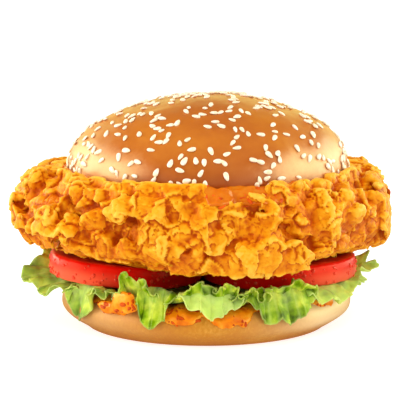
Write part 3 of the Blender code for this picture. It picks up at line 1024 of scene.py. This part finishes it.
def tomato(node, material):
    """One slice: a glossy skin round flesh with seed chambers."""
    rows = [(0.0, 0.0)]
    flat = TOMATO_RADIUS - TOMATO_EDGE
    rows += [(share * flat, 0.0) for share in (0.15, 0.3, 0.45, 0.6, 0.75, 0.88, 0.96)]
    for t in np.linspace(0, math.pi / 2, 9):
        rows.append((TOMATO_RADIUS - TOMATO_EDGE * (1 - math.sin(t)), TOMATO_EDGE * (1 - math.cos(t))))
    lower = rows.copy()
    for z in np.linspace(TOMATO_EDGE, TOMATO_THICKNESS - TOMATO_EDGE, 8)[1:-1]:
        rows.append((TOMATO_RADIUS + 0.25 * MM * math.sin(math.pi * z / TOMATO_THICKNESS), z))
    rows += [(r, TOMATO_THICKNESS - z) for r, z in reversed(lower)]
    points, faces = lathe(rows, 150)
    angle, radius = polar(points)
    share = radius / TOMATO_RADIUS
    lobes = 0.012 * (np.cos(TOMATO_CHAMBERS * angle + TOMATO_LOBE_TURNS[node]) + np.cos(3 * angle) / 2)
    points[:, :2] *= (1 + lobes)[:, None]
    chamber = smooth(0.35, 0.45, share) * (1 - smooth(0.76, 0.84, share))
    chamber *= smooth(-0.1, 0.4, np.cos(TOMATO_CHAMBERS * angle + 1))
    points[:, 2] += np.where(points[:, 2] > TOMATO_THICKNESS / 2, -1, 1) * 0.5 * MM * chamber
    points[:, 2] = np.clip(points[:, 2], 0, TOMATO_THICKNESS)
    mesh = mesh_of(node + "_slice", points, faces)
    swell(mesh, points, 0.12 * MM * clouds(points, 6 * MM, 3.0))
    low_side = smooth(0.8 * TOMATO_THICKNESS, 0.3 * TOMATO_THICKNESS, points[:, 2])
    low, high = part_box(node)
    centre = (low + high) / 2
    turn = Matrix.Rotation(TOMATO_SLOPES[node] * (1 if centre.x < 0 else -1), 3, "Y")
    points = (points - np.array([0, 0, TOMATO_THICKNESS / 2])) @ np.array(turn).T + np.array(centre)
    set_points(mesh, points)
    # Painted sheen: a salmon paleness on the lower side of each slice's outer end, where the side lamps'
    # highlights fall.
    pale = low_side * smooth(22 * MM, 46 * MM, np.abs(points[:, 0]))
    paint(mesh, chamber=chamber, skin=smooth(0.955, 0.985, share), pale=pale)
    return add_piece(node + "_slice", mesh, material, "tomato_flesh", node)


def tomato_material():
    m = Material(
        "tomato_flesh", Roughness=0.33, IOR=1.5, Specular_Tint=(1.0, 0.42, 0.2, 1), Specular_IOR_Level=0.3,
        Subsurface_Weight=0.06, Subsurface_Scale=0.002,
    )
    skin = m.ramp(m.noise(9 * MM, 3.0), (0.3, "e00400"), (0.7, "f41804"))
    # Painted sheen towards the slices' outer ends.
    skin = m.mix(m.maths("MULTIPLY", m.stored("pale"), 0.6), skin, "f4744a")
    flesh = m.ramp(m.noise(2 * MM, 3.0), (0.3, "c81f0c"), (0.7, "e8492c"))
    flesh = m.mix(m.stored("chamber"), flesh, "b8320a")
    m.surface(Base_Color=m.mix(m.stored("skin"), flesh, skin))
    m.bump(m.noise(3 * MM), 0.12 * MM, 0.3)
    return m.made


def drops(pieces, material):
    """Small drops of water on the sides of the tomato."""
    draw = np.random.default_rng(21)
    dome = [(math.cos(t), 0.72 * math.sin(t)) for t in np.linspace(0, math.pi / 2, 7)[:-1]]
    shape, faces = lathe([(0.0, -0.25), (0.95, -0.25)] + dome + [(0.0, 0.72)], 14)
    heap = Heap()
    for piece in pieces:
        middles, normals, areas = face_table(piece.data)
        weights = areas * (np.abs(normals[:, 2]) < 0.5)
        for index in picks(draw, DROPS_ON_SLICE, weights):
            radius = draw.uniform(*DROP_RADII) * MM
            if draw.random() < LARGE_DROPS:
                radius = draw.uniform(*LARGE_DROP_RADII) * MM
            normal = Vector(normals[index])
            side = normal.orthogonal().normalized()
            axes = np.array([side, normal.cross(side), normal])
            stretched = shape * np.array([1, draw.uniform(0.85, 1.15), 1])
            heap.add(stretched * radius @ axes + middles[index], faces)
    add_piece("water_drops", heap.mesh("water_drops"), material, "water_drop")


def drop_material():
    m = Material(
        "water_drop", Roughness=0.15, IOR=1.33, Transmission_Weight=0.15, Base_Color=(0.9, 0.07, 0.03, 1),
        Specular_Tint=(1.0, 0.6, 0.45, 1),
    )
    return m.made


# ---------------------------------------------------------------- lettuce

LEAF_FLAT = 14.8 * MM  # height of the leaves where they lie flat under the tomato
LEAF_THICKNESS = 0.45 * MM
LEAF_START = 36 * MM  # radius at which a torn sheet's curve starts, half a span before the sheet itself
LEAF_BEND = 44 * MM  # radius at which it leaves the flat
LEAF_FOLD = 49.5 * MM  # radius of its fold
LEAF_RUFFLE = 1.3 * MM  # height of the broad waves along a sheet's edge
LEAF_SMALL_RUFFLE = 0.55 * MM  # and of the narrow ones
LEAF_SWAY = 0.9 * MM  # how far the broad waves lean along the edge
SHEET_COLUMNS = 2.4  # columns of points for each degree of a sheet
SHEET_CELLS = 44  # and faces from its start to its edge
INNER_START = 4 * MM  # radii between which the leaves lie flat under the tomato
INNER_END = 42 * MM

# Each leaf's torn sheets. A sheet is rows along its edge: angle in degrees, then in mm the height of its
# fold, and the radius and height of its edge. The front follows the photo's folds.
SHEETS = {
    "lettuce_left": [
        [(146, 17, 56, 19), (154, 17, 60, 23), (162, 17, 58, 21), (170, 18, 60, 24.5), (176, 18, 59, 23),
         (181, 18, 64, 20), (186, 17, 66, 16.5), (191, 17, 61, 14), (196, 17, 61, 12.5),
         (200, 17, 60, 14.2), (205, 16.5, 55, 16), (211, 16, 52, 15.2)],
    ],
    "lettuce_front_left": [
        [(202, 17, 54, 15.5), (206, 17.5, 55, 14), (209, 18, 54, 10), (212, 18, 53.4, 7),
         (216, 18, 53.2, 5.8), (219, 18, 53.6, 7.8), (222, 18, 54, 13.5), (225, 18, 54.5, 18.5),
         (228, 17, 53, 15.6), (232, 17, 52, 18)],
        [(232, 15.5, 53, 14), (236, 17, 54, 19), (239.5, 18, 54.5, 26.3), (243, 18, 53, 23.6),
         (247, 18, 54, 23.8), (250, 17, 53, 19), (253, 16, 52, 17)],
        [(242, 17, 53, 17.5), (244.5, 19.5, 54, 14), (247, 20.5, 54.8, 9.2), (249.5, 20.5, 55, 7.6),
         (252, 20.5, 54.8, 8.2), (254.5, 20, 54.4, 12), (257, 19, 53.8, 16), (260, 18, 53, 18)],
    ],
    "lettuce_front": [
        [(254, 16, 52, 18), (259, 17, 52.5, 19.5), (264, 17.5, 52, 21.5), (268, 18, 52, 24),
         (271, 18, 52.5, 23), (273.5, 17, 53.5, 20), (276.5, 18, 53, 23.4), (279.5, 18, 53, 22.5),
         (282, 17, 54, 19), (285, 18, 53, 21.5), (289, 17, 52, 19)],
        [(258, 18, 53, 18.5), (262, 19, 54, 17), (266, 19.8, 54.6, 14.8), (270, 20.2, 55, 12.4),
         (273, 20, 55, 11.8), (277, 19.5, 54.8, 13.4), (281, 19, 54.4, 15.4), (285, 18, 53.6, 17)],
        [(279, 17, 54, 16), (283, 18, 54.5, 20.5), (286, 18.5, 54, 21.4), (288.5, 18, 55.2, 17.6),
         (291.5, 18.5, 54, 20.8), (294, 17.5, 54.6, 15.5)],
        [(284, 16.5, 52, 19), (290, 17, 52, 21), (296, 17, 51.6, 20.4), (302, 17.5, 52, 21.6),
         (308, 18, 53.4, 22.2), (312, 18, 55, 19.6), (316, 17, 54, 16.5)],
        [(286, 18, 53.4, 16), (290, 19.5, 54, 11.6), (294, 20, 54.6, 8.8), (297.5, 20, 54.8, 9.8),
         (301, 20, 54.8, 8.2), (304.5, 20, 54.8, 9.6), (308.5, 19.5, 54.6, 10.6), (312, 19, 54.4, 14.2),
         (316, 18, 54, 16)],
    ],
    "lettuce_right": [
        [(311, 17, 53.5, 15.5), (318, 17.5, 55.5, 13.8), (326, 17.5, 56.5, 13.2), (332, 17.5, 57, 13.4),
         (336, 17.5, 56, 15.2), (341, 17.5, 57.4, 16), (346, 17.5, 56, 17.2), (350, 17.5, 58, 15.6),
         (354, 17.5, 55.6, 18), (358, 18, 59, 18.8), (360.5, 18, 62, 19.6), (363, 18, 57.5, 20),
         (366.5, 18.5, 60, 22.8), (370, 18, 56, 20.5), (376, 17, 57, 20)],
    ],
}

# How pale some of the sheets are, from 0 to 1, by leaf and place in its list
PALE_SHEETS = {
    ("lettuce_left", 0): 0.3, ("lettuce_front_left", 0): 0.25, ("lettuce_front", 1): 0.7,
    ("lettuce_front", 4): 0.1, ("lettuce_right", 0): 0.5, ("lettuce_back_right", 0): 0.3,
    ("lettuce_back_left", 1): 0.3,
}


def through(rows, steps):
    """A smooth curve through the rows, as steps + 1 rows."""
    rows = np.array(rows, float)
    padded = np.vstack([2 * rows[0] - rows[1], rows, 2 * rows[-1] - rows[-2]])
    place = np.linspace(0, len(rows) - 1, steps + 1)
    index = np.minimum(place.astype(int), len(rows) - 2)
    f = (place - index)[:, None]
    a, b, c, d = (padded[index + k] for k in range(4))
    return 0.5 * (2 * b + (c - a) * f + (2 * a - 5 * b + 4 * c - d) * f**2 + (3 * b - a - 3 * c + d) * f**3)


def back_rows(start, end, seed):
    """Rows for a sheet on the burger's far side, hanging and standing by turns."""
    draw = np.random.default_rng(seed)
    rows = []
    angle = start
    standing = seed % 2 == 0
    while angle < end:
        if standing:
            rows.append((angle, draw.uniform(17, 18.5), draw.uniform(53, 58), draw.uniform(19, 24)))
        else:
            rows.append((angle, draw.uniform(18, 20), draw.uniform(54, 57.5), draw.uniform(8, 14)))
        if draw.random() < 0.6:
            standing = not standing
        angle += draw.uniform(3.2, 6.0)
    return rows


def unit(vectors):
    return vectors / np.linalg.norm(vectors, axis=2, keepdims=True).clip(1e-9)


def sheet(rows, seed):
    """A thin ruffled leaf: points, faces, and for each point its way along and out, and its crinkle."""
    columns = int((rows[-1][0] - rows[0][0]) * SHEET_COLUMNS)
    out = np.linspace(0, 1, SHEET_CELLS + 1)
    grid = []
    for k, (angle, fold, rim, height) in enumerate(through(rows, columns)):
        flat = [(LEAF_START, LEAF_FLAT), (LEAF_BEND, LEAF_FLAT)]
        path = through(flat + [(LEAF_FOLD, fold * MM), (rim * MM, height * MM)], 3 * SHEET_CELLS)
        path = path[SHEET_CELLS // 2 :]
        lengths = walked(path)
        tooth = 0.9 * noise.noise((k * 0.17, seed, 0)) + 0.6 * noise.noise((k * 0.55, seed, 4))
        side = 1 - (2 * k / columns - 1) ** 8
        reach = lengths[-1] * (0.86 + 0.14 * side) + 1.0 * MM * tooth
        at = out * min(reach, lengths[-1])
        radius = np.interp(at, lengths, path[:, 0])
        level = np.interp(at, lengths, path[:, 1])
        turn = math.radians(angle)
        grid.append(np.stack([radius * math.cos(turn), radius * math.sin(turn), level], 1))
    grid = np.array(grid)
    tangent = np.gradient(grid, axis=0)
    normal = unit(np.cross(tangent, np.gradient(grid, axis=1)))
    walk = walked(grid[:, -1]) / MM
    draw = np.random.default_rng(seed)
    big = 2 * math.pi * walk / draw.uniform(8.5, 11) + draw.uniform(0, 6)
    small = 2 * math.pi * walk / draw.uniform(3.2, 4.2) + draw.uniform(0, 6) + 1.3 * np.sin(big * 0.7)
    grow = smooth(0.45, 1.0, out)[None, :]
    edge = smooth(0.72, 1.0, out)[None, :]
    ruffle = LEAF_RUFFLE * np.sin(big)[:, None] * grow + LEAF_SMALL_RUFFLE * np.sin(small)[:, None] * edge
    lean = LEAF_SWAY * np.sin(2 * big + 0.6)[:, None] * grow
    points = (grid + normal * ruffle[..., None] + unit(tangent) * lean[..., None]).reshape(-1, 3)
    crinkle = np.array([noise.noise(Vector(p) / (3.2 * MM) + Vector((seed, 0, 0))) for p in points])
    fine = np.array([noise.noise(Vector(p) / (1.4 * MM) + Vector((0, seed, 0))) for p in points])
    push = (0.55 * crinkle + 0.22 * fine) * MM * np.tile(smooth(0.3, 0.6, out), columns + 1)
    points += normal.reshape(-1, 3) * push[:, None]
    faces = quads(columns + 1, len(out))
    return points, faces, np.repeat(walk, len(out)), np.tile(out, columns + 1), crinkle


def inner_leaf(start, end, seed):
    """The flat part of a leaf under the tomato, between two angles in degrees, in the form of sheet()."""
    angles = np.radians(np.linspace(start, end, int((end - start) / 2) + 2))
    reach = np.linspace(INNER_START, INNER_END, 16)
    r, a = np.meshgrid(reach, angles)
    points = np.stack([r * np.cos(a), r * np.sin(a), np.full(r.shape, LEAF_FLAT)], -1).reshape(-1, 3)
    crinkle = clouds(points, 7 * MM, seed)
    points[:, 2] -= 0.4 * MM * (1 + crinkle)
    along = np.repeat(np.degrees(angles), len(reach))
    out = np.tile(np.linspace(0, 0.35, len(reach)), len(angles))
    return points, quads(len(angles), len(reach)), along, out, crinkle


def lettuce(node, sheets, material, seed):
    """One leaf: its torn sheets and its flat inner part, with what the material reads at each point."""
    made = [sheet(rows, seed + 7 * k) for k, rows in enumerate(sheets)]
    made.append(inner_leaf(min(rows[0][0] for rows in sheets), max(rows[-1][0] for rows in sheets), seed))
    heap = Heap()
    layers = {"along": [], "out": [], "crinkle": [], "pale": []}
    for k, (points, faces, along, out, crinkle) in enumerate(made):
        heap.add(points, faces)
        pale = np.full(len(points), PALE_SHEETS.get((node, k), 0.0))
        for layer, values in zip(layers.values(), (along + 40 * k, out, crinkle, pale)):
            layer.append(values)
    mesh = heap.mesh(node + "_leaf")
    paint(mesh, **{name: np.concatenate(values) for name, values in layers.items()})
    thick = with_modifier(mesh, "SOLIDIFY", thickness=LEAF_THICKNESS, offset=0.0)
    add_piece(node + "_leaf", thick, material, "lettuce_leaf", node)


def lettuce_material():
    m = Material(
        "lettuce_leaf", Roughness=0.45, IOR=1.35, Specular_Tint=(0.9, 1.0, 0.5, 1),
        Subsurface_Weight=0.15, Subsurface_Scale=0.0015, Subsurface_Radius=(0.6, 1.0, 0.15),
    )
    out = m.stored("out")
    fine = m.noise(1.8 * MM, 3.0)
    blister = m.cells(2.6 * MM, m.distort(m.place(), 3 * MM, 1.6 * MM))
    crinkle = m.between(m.stored("crinkle"), -0.6, 0.6, -0.22, 0.22)
    tone = m.add(m.sway(m.noise(8 * MM), 0.05, 0.85), m.sway(fine, -0.15, 0.15), crinkle)
    tone = m.add(tone, m.between(blister, 0.1, 0.7, -0.08, 0.12))
    green = m.ramp(tone, (0.0, "2c4800"), (0.42, "80a404"), (1.0, "d6e044"))
    along_and_out = m.node("ShaderNodeCombineXYZ", {"X": m.stored("along"), "Y": out}).outputs["Vector"]
    ribs = m.lines(m.noise(4.0, 2.0, m.stretch(along_and_out, (1, 2.5, 1)), roughness=0.4))
    colour = m.mix(m.between(out, 0.3, 0.85, 0.25, 0.0), green, "dde8a6")
    colour = m.mix(m.between(ribs, 0.0, 0.05, 0.2, 0.0), colour, "dcea8c")
    colour = m.mix(m.stored("pale"), colour, "d2ec7c")
    m.surface(Base_Color=m.mix(m.between(out, 0.972, 0.995, 0.0, 0.25), colour, "dcdc88"))
    m.surface(Specular_IOR_Level=m.between(out, 0.3, 0.75, 0.0, 0.15))
    m.bump(fine, 0.25 * MM, 0.5)
    m.bump(blister, 0.4 * MM, 0.5)
    return m.made


# ---------------------------------------------------------------- sauce

# Where the lower sauce runs over the heel's edge: angle and half width in degrees, and lowest height in mm
LOWER_DRIPS = [
    (199, 7, 11.5), (218, 6, 11.4), (232, 11, 9.9), (246, 6, 11), (260, 11, 8.3), (279, 12, 8.0),
    (297, 8, 10), (325, 8, 10.3), (345, 8, 11.5), (20, 9, 10.5), (62, 12, 11), (100, 9, 9.5),
    (140, 10, 11), (172, 7, 12),
]

# Sauce pressed up against the leaves: angle in degrees and radius and height in mm of its root, and its width
# and length in mm
SAUCE_SPLASHES = [(238.5, 53.2, 11.5, 11, 8), (230, 52, 10.5, 10, 4.5)]

SAUCE_STEPS = 300  # columns of points round the lower sauce
SAUCE_CELLS = 26  # and points in each
SAUCE_THICK = 1.5 * MM  # of the lower sauce
SPLASH_THICK = 2.2 * MM
FLECK_THICK = 0.35 * MM
SAUCE_DEPTH = 0.25 * MM  # by which it is set into the heel
TONGUE_FOLDS = (270, 297)  # degrees between which the upper sauce's folds are thick and hang out
FLECKS_BELOW = 230  # chips of chilli on the lower and on the upper sauce
FLECKS_ABOVE = 160
SAUCE_LEVEL = 53.0 * MM  # middle height of the sauce round the foot of the crown


def drip_end(degrees):
    """The height in mm down to which the lower sauce runs at an angle."""
    angle = math.radians(degrees)
    lowest = 13.2 - 0.6 * (1 + around(angle, 3.0, 2.0))
    for middle, half, floor in LOWER_DRIPS:
        away = abs(apart(degrees, middle))
        lowest = min(lowest, floor + (13.4 - floor) * float(smooth(0.45 * half, 1.05 * half, away)))
    return lowest + 0.5 * around(angle, 14, 5.0)


def sauce_column(degrees, radius, top):
    """Points of the lower sauce's inner and outer face at an angle, from the heel's cut face downwards."""
    angle = math.radians(degrees)
    lowest = drip_end(degrees) * MM
    path = [(40 * MM, top + 0.3 * MM), (45 * MM, top + 0.3 * MM)]
    for share in np.linspace(0, 1, 12):
        r, z = heel_shoulder(math.pi / 2 * (1 - share), radius, top)
        if z < lowest:
            break
        path.append((r, z))
    while path[-1][1] > lowest and path[-1][1] <= HEEL_WIDEST + 0.2 * MM:
        path.append((path[-1][0] - 0.05 * MM, path[-1][1] - 0.4 * MM))
    path = np.array(path)
    lengths = walked(path)
    at = np.linspace(0, lengths[-1], SAUCE_CELLS)
    r = np.interp(at, lengths, path[:, 0])
    z = np.interp(at, lengths, path[:, 1])
    round_end = np.sqrt(np.clip((lengths[-1] - at) / (1.6 * MM), 0, 1))
    thick = SAUCE_THICK * round_end * (1 + 0.35 * around(angle, 9, 1.0))
    thick *= 1 - 0.55 * (1 - smooth(0, 6 * MM, at))
    slope_r = np.gradient(r)
    slope_z = np.gradient(z)
    size = np.hypot(slope_r, slope_z)
    faces = []
    for push in (-SAUCE_DEPTH, thick):
        far = r - slope_z / size * push
        faces.append(np.stack([far * math.cos(angle), far * math.sin(angle), z + slope_r / size * push], 1))
    return faces


def sauce_surface(mesh, rounds, height, size, seed):
    """Smooths a sauce's mesh and gives it soft waves."""
    points = relax(points_of(mesh), edges_of(mesh), rounds)
    set_points(mesh, points)
    swell(mesh, points, height * clouds(points, size, seed))


def lower_sauce(material):
    """Glossy sauce that is squeezed out over the shoulder of the heel."""
    low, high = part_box("bun_heel")
    columns = [sauce_column(360 * i / SAUCE_STEPS, (high.x - low.x) / 2, high.z) for i in range(SAUCE_STEPS)]
    bottom, top = (np.array(layer).reshape(-1, 3) for layer in zip(*columns))
    size = len(bottom)
    faces = []
    for i in range(SAUCE_STEPS):
        a, b = i * SAUCE_CELLS, (i + 1) % SAUCE_STEPS * SAUCE_CELLS
        faces.append((a, b, size + b, size + a))
        for _ in range(SAUCE_CELLS - 1):
            faces.append((a, a + 1, b + 1, b))
            faces.append((size + a, size + b, size + b + 1, size + a + 1))
            a, b = a + 1, b + 1
        faces.append((a, size + a, size + b, b))
    heap = Heap()
    heap.add(np.concatenate([bottom, top]), faces)
    for degrees, radius, height, width, length in SAUCE_SPLASHES:
        out = level_direction(math.radians(degrees))
        shape = lobe(width * MM, length * MM, SPLASH_THICK, 5, -8, 0.1, LOBE_RUFFLE, degrees)
        heap.stand(shape, out * radius * MM + UP * height * MM, out, 180)
    mesh = remesh(heap.mesh("lower"), 0.6 * MM)
    sauce_surface(mesh, 4, 0.25 * MM, 3.5 * MM, 3.0)
    paint(mesh, deep=np.zeros(len(mesh.vertices)))
    return add_piece("sauce_lower_spread", mesh, material, "chilli_mayonnaise", "sauce_lower")


def upper_sauce(material):
    """Sauce and its folds round the foot of the crown, with a thick tongue at the front."""
    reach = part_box("bun_crown")[1].y

    def section(angle):
        wide = (1.7 + 0.5 * around(angle, 6.0, 1.0)) * MM
        tall = (2.6 + 0.5 * around(angle, 8.0, 3.0)) * MM
        return reach - 0.7 * MM, SAUCE_LEVEL, wide, tall

    heap = Heap()
    heap.add(*tube(260, 14, section))
    draw = np.random.default_rng(31)
    for degrees in np.arange(0, 360, 5.0):
        tongue = TONGUE_FOLDS[0] < degrees < TONGUE_FOLDS[1]
        angle = math.radians(degrees + draw.uniform(-2, 2))
        out = Vector((math.cos(angle), math.sin(angle), 0.9 if tongue else 0.25)).normalized()
        r = reach + 0.4 * MM
        z = SAUCE_LEVEL + draw.uniform(1.4, 2.8) * MM
        spot = Vector((r * math.cos(angle), r * math.sin(angle), z))
        shape = lobe(
            draw.uniform(6, 12) * MM, draw.uniform(4, 6) * MM + (3.2 * MM if tongue else 0.0),
            draw.uniform(1.2, 1.8) * MM + (0.6 * MM if tongue else 0.0),
            draw.uniform(5, 25), draw.uniform(-25, 0), 0.2, LOBE_RUFFLE, draw.uniform(0, 6),
        )
        heap.stand(shape, spot, out, draw.uniform(-35, 35))
    mesh = heap.mesh("upper")
    set_points(mesh, warp(points_of(mesh), 5 * MM, 0.8 * MM, 40.0))
    mesh = largest_island(remesh(mesh, 0.5 * MM))
    sauce_surface(mesh, 3, 0.22 * MM, 2.2 * MM, 2.0)
    paint(mesh, deep=np.ones(len(mesh.vertices)))
    return add_piece("sauce_upper_spread", mesh, material, "chilli_mayonnaise", "sauce_upper")


def sauce_material():
    m = Material(
        "chilli_mayonnaise", Roughness=0.24, IOR=1.45, Specular_Tint=(1.0, 0.85, 0.55, 1),
        Subsurface_Weight=0.08, Subsurface_Scale=0.002,
    )
    orange = m.ramp(m.noise(4 * MM, 3.0), (0.28, "d25c02"), (0.5, "ee8408"), (0.75, "fcb230"))
    m.surface(Base_Color=m.mix(m.maths("MULTIPLY", m.stored("deep"), 0.7), orange, "bc5806"))
    m.bump(m.noise(1.5 * MM), 0.2 * MM, 0.35)
    return m.made


def flecks(spreads, material):
    """Chips of chilli on the sauce. spreads are pairs of a piece and how many chips lie on it."""
    draw = np.random.default_rng(8)
    heap = Heap()
    for piece, count in spreads:
        middles, normals, areas = face_table(piece.data)
        _, reach = polar(middles)
        facing = (normals[:, :2] * middles[:, :2]).sum(1) / reach
        weights = areas * ((facing > 0.2) | (normals[:, 2] > 0.5)) * (reach > 46 * MM)
        for index in picks(draw, count, weights):
            width = draw.uniform(0.4, 1.5) * MM
            shape = lobe(
                width, width * draw.uniform(0.7, 2.6), FLECK_THICK,
                draw.uniform(-5, 10), draw.uniform(-30, 10), 0.2, 0.0, draw.uniform(0, 6), across=4, along=5,
            )
            heap.stand(shape, middles[index], Vector(normals[index]), draw.uniform(0, 360))
    add_piece("chilli_flecks", heap.mesh("chilli_flecks"), material, "chilli_fleck")


def fleck_material():
    m = Material("chilli_fleck", Roughness=0.6, Specular_Tint=(1.0, 0.5, 0.2, 1))
    m.surface(Base_Color=m.ramp(m.noise(3 * MM, 1.0), (0.35, "b03404"), (0.65, "dc5408")))
    return m.made


# ---------------------------------------------------------------- studio

CAMERA_LENS = 176.4  # millimetres
CAMERA_SENSOR = 36
CAMERA_DISTANCE = 0.70
CAMERA_RISE = math.radians(9)
CAMERA_AIM = Vector((-0.0021, 0, 0.0432))
LAMP_AIM = Vector((0, 0, 0.045))
FLOOR_SIZE = 8.0
FLOOR_GLOW = 0.72
WORLD_LIGHT = 0.16
SKY_LIGHT = 2.0
SKY_SPREAD = math.radians(60)
SHEEN = (0.80, 0.98, 0.74)
BACK_SHEEN = (0.85, 0.95, 0.30)

# Lamps: name, place, width, height and power. One with a colour shows only as sheen, and the others never do.
LAMPS = [
    ("left", (-0.52, -0.05, 0.22), 0.34, 0.34, 1.8),
    ("right", (0.52, -0.05, 0.26), 0.34, 0.34, 1.1),
    ("front", (0.10, -0.75, 0.70), 0.5, 0.5, 3.4),
    ("left_low", (-0.46, -0.42, 0.12), 0.3, 0.2, 0.55),
    ("right_low", (0.34, -0.56, 0.10), 0.3, 0.2, 0.5),
    ("left_sheen", (-0.56, 0.08, 0.20), 1.10, 0.42, 8.0, SHEEN),
    ("right_sheen", (0.60, 0.04, 0.22), 1.20, 0.44, 9.5, SHEEN),
    ("back_sheen", (0.0, 0.85, 0.32), 1.90, 0.36, 4.2, BACK_SHEEN),
]


def lamp(name, place, width, height, power, sheen=None):
    """A soft rectangular lamp."""
    light = bpy.data.lights.new(name, "AREA")
    light.energy = power
    light.shape = "RECTANGLE"
    light.size = width
    light.size_y = height
    if sheen:
        light.color = sheen
    turn = (LAMP_AIM - Vector(place)).to_track_quat("-Z", "Y").to_euler()
    made = in_scene(name, light, location=place, rotation_euler=turn, visible_camera=False)
    made.visible_glossy = bool(sheen)
    made.visible_diffuse = not sheen


def floor():
    """A pale floor that glows a little, so that it stays pale all the way back."""
    material = Material(
        "floor", Roughness=0.9, Base_Color=(0.5, 0.5, 0.5, 1), Emission_Color=(1, 1, 1, 1),
        Emission_Strength=FLOOR_GLOW,
    )
    corners = [(x * FLOOR_SIZE / 2, y * FLOOR_SIZE / 2, 0) for x, y in ((-1, -1), (1, -1), (1, 1), (-1, 1))]
    ground = add_object("floor", mesh_of("floor", corners, [(0, 1, 2, 3)]), material.made)
    ground.visible_glossy = False


def camera():
    """The camera in front of the burger, looking slightly down on it."""
    data = bpy.data.cameras.new("camera")
    data.lens = CAMERA_LENS
    data.sensor_width = CAMERA_SENSOR
    place = CAMERA_AIM + CAMERA_DISTANCE * Vector((0, -math.cos(CAMERA_RISE), math.sin(CAMERA_RISE)))
    turn = (math.pi / 2 - CAMERA_RISE, 0, 0)
    bpy.context.scene.camera = in_scene("camera", data, location=place, rotation_euler=turn)


def studio():
    """The world, the floor, the lamps and the camera."""
    world = bpy.data.worlds.new("studio")
    bpy.context.scene.world = world
    world.use_nodes = True
    background = world.node_tree.nodes["Background"]
    background.inputs["Color"].default_value = (1, 1, 1, 1)
    background.inputs["Strength"].default_value = WORLD_LIGHT
    floor()
    sky = bpy.data.lights.new("sky", "SUN")
    sky.energy = SKY_LIGHT
    sky.angle = SKY_SPREAD
    in_scene("sky", sky, visible_glossy=False)
    for row in LAMPS:
        lamp(*row)
    camera()
    bpy.context.scene.view_settings.view_transform = "Standard"


crust(batter_material())
dome = crown(crown_material())
sesame(dome, seed_material())
heel(heel_material())
red = tomato_material()
slices = [tomato(node, red) for node in ("tomato_left", "tomato_right")]
drops(slices, drop_material())
green = lettuce_material()
SHEETS["lettuce_back_right"] = [back_rows(12, 80, 2), back_rows(16, 76, 5)]
SHEETS["lettuce_back_left"] = [back_rows(76, 146, 4), back_rows(82, 144, 3)]
for number, (node, sheets) in enumerate(SHEETS.items()):
    lettuce(node, sheets, green, 3 + 10 * number)
sauce = sauce_material()
spreads = [(lower_sauce(sauce), FLECKS_BELOW), (upper_sauce(sauce), FLECKS_ABOVE)]
flecks(spreads, fleck_material())
studio()
